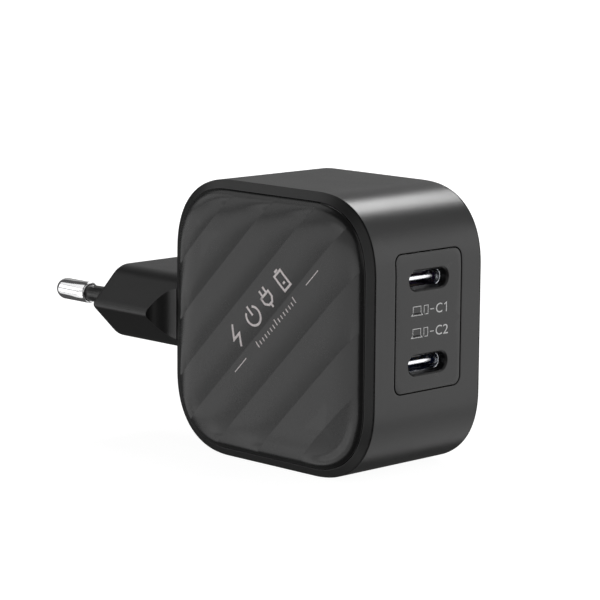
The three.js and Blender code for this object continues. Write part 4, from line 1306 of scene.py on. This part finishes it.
def laminate(name):
    """Green circuit board: solder mask over faint copper tracks and the weave of its glass cloth."""
    finish = Finish(name)
    weave = finish.noise(1.0, 2, (2600, 2600, 2600))
    tracks = finish.node("ShaderNodeTexBrick", None,
                         {"Vector": finish.place, "Scale": 320.0, "Mortar Size": 0.06}, out="Fac")
    tone = finish.mix(weave.between(0.35, 0.65), (0.012, 0.095, 0.045), (0.018, 0.13, 0.06))
    finish.set("Base Color", finish.mix(tracks * 0.6, tone, (0.03, 0.2, 0.09)))
    finish.set("Roughness", weave * 0.2 + 0.28)
    finish.bump(tracks, 0.02 * MM, 0.5)
    return finish.material


def moulded(name, base, roughness, speckle, scale=1500, depth=0.02):
    """Cast or moulded body: two tones of speckle, uneven gloss and a fine bump."""
    finish = Finish(name)
    spot = finish.noise(scale, 4)
    cloud = finish.noise(160, 3)
    tone = finish.mix(spot.between(0.4, 0.62), base, speckle)
    finish.set("Base Color", finish.mix(cloud.between(0.35, 0.7) * 0.5, tone, shade(base, 0.8)))
    finish.set("Roughness", roughness + (spot - 0.5) * 0.2)
    finish.bump(spot, depth * MM, 0.6)
    return finish.material


def wound(name, base, painted_groove_shade, turns, axis, metallic=0.0, roughness=0.35):
    """Wire or tape wound round a core: round ridges across one axis, with painted shade in the grooves
    between them, a darker colour there.
    """
    finish = Finish(name, Metallic=metallic)
    waves = finish.node("ShaderNodeTexWave",
                        {"wave_type": "BANDS", "bands_direction": axis, "wave_profile": "SIN"},
                        {"Vector": finish.place, "Scale": turns, "Distortion": 0.4, "Detail": 1.0}, out="Fac")
    stain = finish.noise(500, 3)
    # painted shade: the grooves between the turns take the darker colour
    tone = finish.mix(waves.between(0.1, 0.6), painted_groove_shade, base)
    finish.set("Base Color", finish.mix(stain.between(0.4, 0.75) * 0.4, tone, shade(base, 0.7)))
    finish.set("Roughness", roughness + stain * 0.15)
    finish.bump(waves, 0.12 * MM, 0.8)
    return finish.material


INNER_FINISHES = {
    # material: maker, its other arguments, CAD nodes
    "carrier_plastic": (moulded, ((0.62, 0.60, 0.53), 0.5, (0.55, 0.53, 0.46)), "pin_carrier"),
    "lead_brown": (moulded, ((0.12, 0.045, 0.02), 0.42, (0.16, 0.06, 0.03)), "line_wire"),
    "lead_blue": (moulded, ((0.02, 0.09, 0.32), 0.42, (0.03, 0.12, 0.4)), "neutral_wire"),
    "board_laminate": (laminate, (), "main_board", "port_board"),
    "ferrite": (moulded, ((0.022, 0.022, 0.024), 0.62, (0.05, 0.05, 0.055), 2600, 0.05),
                "transformer_core_lower", "transformer_core_upper", "choke_core", "port_inductor_upper",
                "port_inductor_lower"),
    "bobbin_plastic": (moulded, ((0.016, 0.014, 0.013), 0.45, (0.028, 0.025, 0.022)), "transformer_bobbin"),
    # the second colour of each winding is the painted shade in its grooves
    "winding_tape": (wound, ((0.72, 0.5, 0.06), (0.45, 0.28, 0.03), 90, "Z"), "transformer_winding"),
    "winding_copper": (wound, ((0.62, 0.25, 0.1), (0.12, 0.04, 0.02), 420, "Y", 0.9, 0.25),
                       "choke_winding_upper", "choke_winding_lower"),
    "capacitor_sleeve": (moulded, ((0.014, 0.018, 0.04), 0.3, (0.02, 0.026, 0.055), 900),
                         "bulk_capacitor_upper", "bulk_capacitor_lower"),
    "can_aluminium": (plated_metal, ((0.72, 0.73, 0.74), 0.28, (80, 80, 3000)),
                      "output_capacitor_upper", "output_capacitor_lower"),
    "film_capacitor_resin": (moulded, ((0.75, 0.55, 0.08), 0.4, (0.66, 0.47, 0.06)), "line_filter_capacitor"),
    "fuse_body": (moulded, ((0.05, 0.035, 0.03), 0.4, (0.075, 0.05, 0.045)), "input_fuse"),
    "disc_coating": (moulded, ((0.03, 0.12, 0.05), 0.5, (0.045, 0.16, 0.07)), "inrush_thermistor"),
    "disc_coating_blue": (moulded, ((0.03, 0.12, 0.42), 0.45, (0.04, 0.16, 0.5)), "safety_capacitor"),
    "component_epoxy": (moulded, ((0.018, 0.018, 0.02), 0.55, (0.03, 0.03, 0.034), 3200),
                        "bridge_rectifier", "switching_ic", "synchronous_rectifier", "port_controller",
                        "optocoupler"),
    "spreader_aluminium": (plated_metal, ((0.7, 0.71, 0.72), 0.3, (40, 40, 2600)),
                           "heat_spreader_left", "heat_spreader_right"),
    "insulation_film": (moulded, ((0.7, 0.68, 0.6), 0.3, (0.6, 0.58, 0.5), 400), "insulation_sheet"),
}


class CHARGER_OT_inner_finishes(bpy.types.Operator):
    """Materials of the pieces inside the housing"""

    bl_idname = "charger.inner_finishes"
    bl_label = "Inner finishes"

    def execute(self, context):
        for name, (maker, values, *nodes) in INNER_FINISHES.items():
            material = maker(name, *values)
            for node in nodes:
                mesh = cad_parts[node].data
                mesh.materials.clear()
                mesh.materials.append(material)
        return {"FINISHED"}


# ---------------------------------------------------------------- stage

def direction(azimuth, elevation):
    """Unit vector at an azimuth from -Y towards +X and an elevation over the horizon, in radians."""
    flat = math.cos(elevation)
    return Vector((math.sin(azimuth) * flat, -math.cos(azimuth) * flat, math.sin(elevation)))


LAMP_DISTANCE = 1.6
LIGHT_FROM_WORLD = (0.08, 0.08, 0.08)
WORLD_BEHIND = (1.05, 1.05, 1.05)
LENS_SHIFT = (-0.0433, 0.0305)
LAMPS = {
    # name: azimuth, elevation, width (m), height (m), radiance
    "key": (103, 47, 0.55, 0.5, 9.5),
    "right_high": (108, 64, 1.5, 0.67, 2.0),
    "front_right_high": (40, 40, 1.3, 0.67, 0.8),
    "front_high": (345, 40, 1.3, 0.67, 0.4),
    "front_right": (45, 14, 1.7, 0.67, 1.55),
    "front_right_low": (45, -10, 1.7, 0.67, 1.3),
    "front": (0, 14, 0.83, 0.67, 0.6),
    "front_low": (0, -10, 0.83, 0.67, 0.6),
    "left_front": (325, 14, 1.2, 0.67, 0.35),
    "left": (255, 14, 1.7, 0.67, 0.65),
    "left_low": (255, -10, 1.7, 0.67, 1.25),
    "back_left": (214, 16, 0.7, 0.6, 1.2),
    "back_left_low": (212, -10, 0.83, 0.67, 1.15),
    "back_high": (210, 40, 0.8, 0.67, 0.85),
    "under_back": (215, -32, 0.6, 0.5, 0.8),
    "back_right": (140, 20, 1.2, 0.67, 0.3),
    "under_right": (70, -35, 1.4, 0.67, 0.85),
    "under_front": (10, -35, 1.4, 0.67, 0.35),
    "under_left": (245, -35, 1.3, 0.67, 0.9),
    "under": (50, -62, 1.2, 0.67, 0.7),
}


class CHARGER_OT_stage(bpy.types.Operator):
    """Pale floor, soft studio lamps and the camera"""

    bl_idname = "charger.stage"
    bl_label = "Stage"

    def execute(self, context):
        settings = context.scene.charger_stage
        self.floor(settings)
        self.world(context.scene)
        for name, lamp in LAMPS.items():
            self.lamp(name, *lamp, settings.light)
        self.camera(context.scene, settings)
        context.scene.view_settings.view_transform = "Standard"
        return {"FINISHED"}

    @staticmethod
    def floor(settings):
        """Flat grid under the object: a pale diffuse floor lit by the lamps, plus a painted glow that only
        camera rays see, dimmer near the object and white away from it.
        """
        steps = np.linspace(-4, 4, 9)
        x, y = np.meshgrid(steps, steps, indexing="ij")
        skin = Skin()
        skin.grid(np.stack([x, y, np.full_like(x, FLOOR_LEVEL - 0.05 * MM)], -1))
        made = bpy.data.objects.new("floor", skin.mesh("floor"))
        bpy.context.scene.collection.objects.link(made)
        finish = Finish("floor_with_painted_glow")
        fibre = finish.noise(400, 3)
        base = tuple(settings.floor)
        finish.set("Base Color", finish.mix(fibre.between(0.3, 0.7), shade(base, 0.97), shade(base, 1.02)))
        finish.set("Roughness", 0.9)
        finish.set("Specular IOR Level", 0.0)
        # Painted glow: camera rays see an emission on the floor, 0.94 near the object rising to 1.05 away
        # from it, on top of the lit diffuse floor
        camera_ray = finish.node("ShaderNodeLightPath", out="Is Camera Ray")
        apart = finish.node("ShaderNodeVectorMath", {"operation": "LENGTH"}, {0: finish.place}, out="Value")
        painted_glow = finish.mix(apart.between(0.05, 0.25), (0.94, 0.94, 0.94), (1.05, 1.05, 1.05))
        glow = finish.node("ShaderNodeEmission", None, {"Color": painted_glow, "Strength": 1.0})
        nothing = finish.node("ShaderNodeEmission", None, {"Strength": 0.0})
        lit = finish.node("ShaderNodeMixShader", None, {0: camera_ray, 1: nothing, 2: glow})
        both = finish.node("ShaderNodeAddShader", None, {0: Socket(finish, finish.shader.outputs[0]), 1: lit})
        output = finish.tree.nodes["Material Output"]
        finish.tree.links.new(both.socket, output.inputs["Surface"])
        made.data.materials.append(finish.material)
        made.visible_diffuse = made.visible_glossy = made.visible_shadow = False

    @staticmethod
    def world(scene):
        """White behind the object, and a dim even light on it."""
        world = bpy.data.worlds.new("studio")
        world.use_nodes = True
        scene.world = world
        tree = world.node_tree
        background = tree.nodes["Background"]
        path = tree.nodes.new("ShaderNodeLightPath")
        mix = tree.nodes.new("ShaderNodeMix")
        mix.data_type = "RGBA"
        mix.inputs[6].default_value = (*LIGHT_FROM_WORLD, 1)
        mix.inputs[7].default_value = (*WORLD_BEHIND, 1)
        tree.links.new(path.outputs["Is Camera Ray"], mix.inputs[0])
        tree.links.new(mix.outputs[2], background.inputs["Color"])

    @staticmethod
    def lamp(name, azimuth, elevation, width, height, radiance, scale):
        """Softbox of an even radiance that faces the housing's centre."""
        data = bpy.data.lights.new(name, "AREA")
        data.shape, data.size, data.size_y = "RECTANGLE", width, height
        data.energy = radiance * scale * width * height * math.pi
        made = bpy.data.objects.new(name, data)
        bpy.context.scene.collection.objects.link(made)
        towards = direction(math.radians(azimuth), math.radians(elevation))
        made.location = Vector(BODY_CENTRE) + towards * LAMP_DISTANCE
        made.rotation_euler = towards.to_track_quat("Z", "Y").to_euler()
        made.visible_camera = False

    @staticmethod
    def camera(scene, settings):
        data = bpy.data.cameras.new("camera")
        data.sensor_width, data.lens = 36, settings.lens
        data.shift_x, data.shift_y = LENS_SHIFT
        data.clip_start, data.clip_end = 0.01, 20
        made = bpy.data.objects.new("camera", data)
        scene.collection.objects.link(made)
        back = direction(settings.azimuth, settings.elevation)
        right = Vector((0, 0, 1)).cross(back).normalized()
        up = back.cross(right)
        turn = Matrix((right, up, back)).transposed().to_4x4()
        move = Matrix.Translation(Vector(BODY_CENTRE) + back * settings.distance)
        made.matrix_world = move @ turn @ Matrix.Rotation(settings.roll, 4, "Z")
        scene.camera = made


# ---------------------------------------------------------------- add-on

BUILDERS = (
    CHARGER_OT_body_shell,
    CHARGER_OT_bezels,
    CHARGER_OT_covers,
    CHARGER_OT_cover_mark,
    CHARGER_OT_port_insert,
    CHARGER_OT_port_labels,
    CHARGER_OT_receptacles,
    CHARGER_OT_plug_boss,
    CHARGER_OT_pins,
    CHARGER_OT_inner_finishes,
    CHARGER_OT_stage,
)


class CHARGER_PT_panel(bpy.types.Panel):
    """Lists the charger's pieces and their sizes and colours"""

    bl_idname = "CHARGER_PT_panel"
    bl_label = "USB wall charger"
    bl_space_type = "VIEW_3D"
    bl_region_type = "UI"
    bl_category = "Charger"

    def draw(self, context):
        for builder in BUILDERS:
            self.layout.operator(builder.bl_idname)
        for name in SETTINGS:
            group = getattr(context.scene, name)
            box = self.layout.box()
            for key in group.__annotations__:
                box.prop(group, key)


def register():
    for group in (*SETTINGS.values(), *BUILDERS, CHARGER_PT_panel):
        bpy.utils.register_class(group)
    for name, group in SETTINGS.items():
        setattr(bpy.types.Scene, name, PointerProperty(type=group))


def unregister():
    for name in SETTINGS:
        delattr(bpy.types.Scene, name)
    for group in (CHARGER_PT_panel, *reversed(BUILDERS), *reversed(SETTINGS.values())):
        bpy.utils.unregister_class(group)


def main():
    register()
    for builder in BUILDERS:
        namespace, name = builder.bl_idname.split(".")
        getattr(getattr(bpy.ops, namespace), name)()


if __name__ == "__main__":
    main()
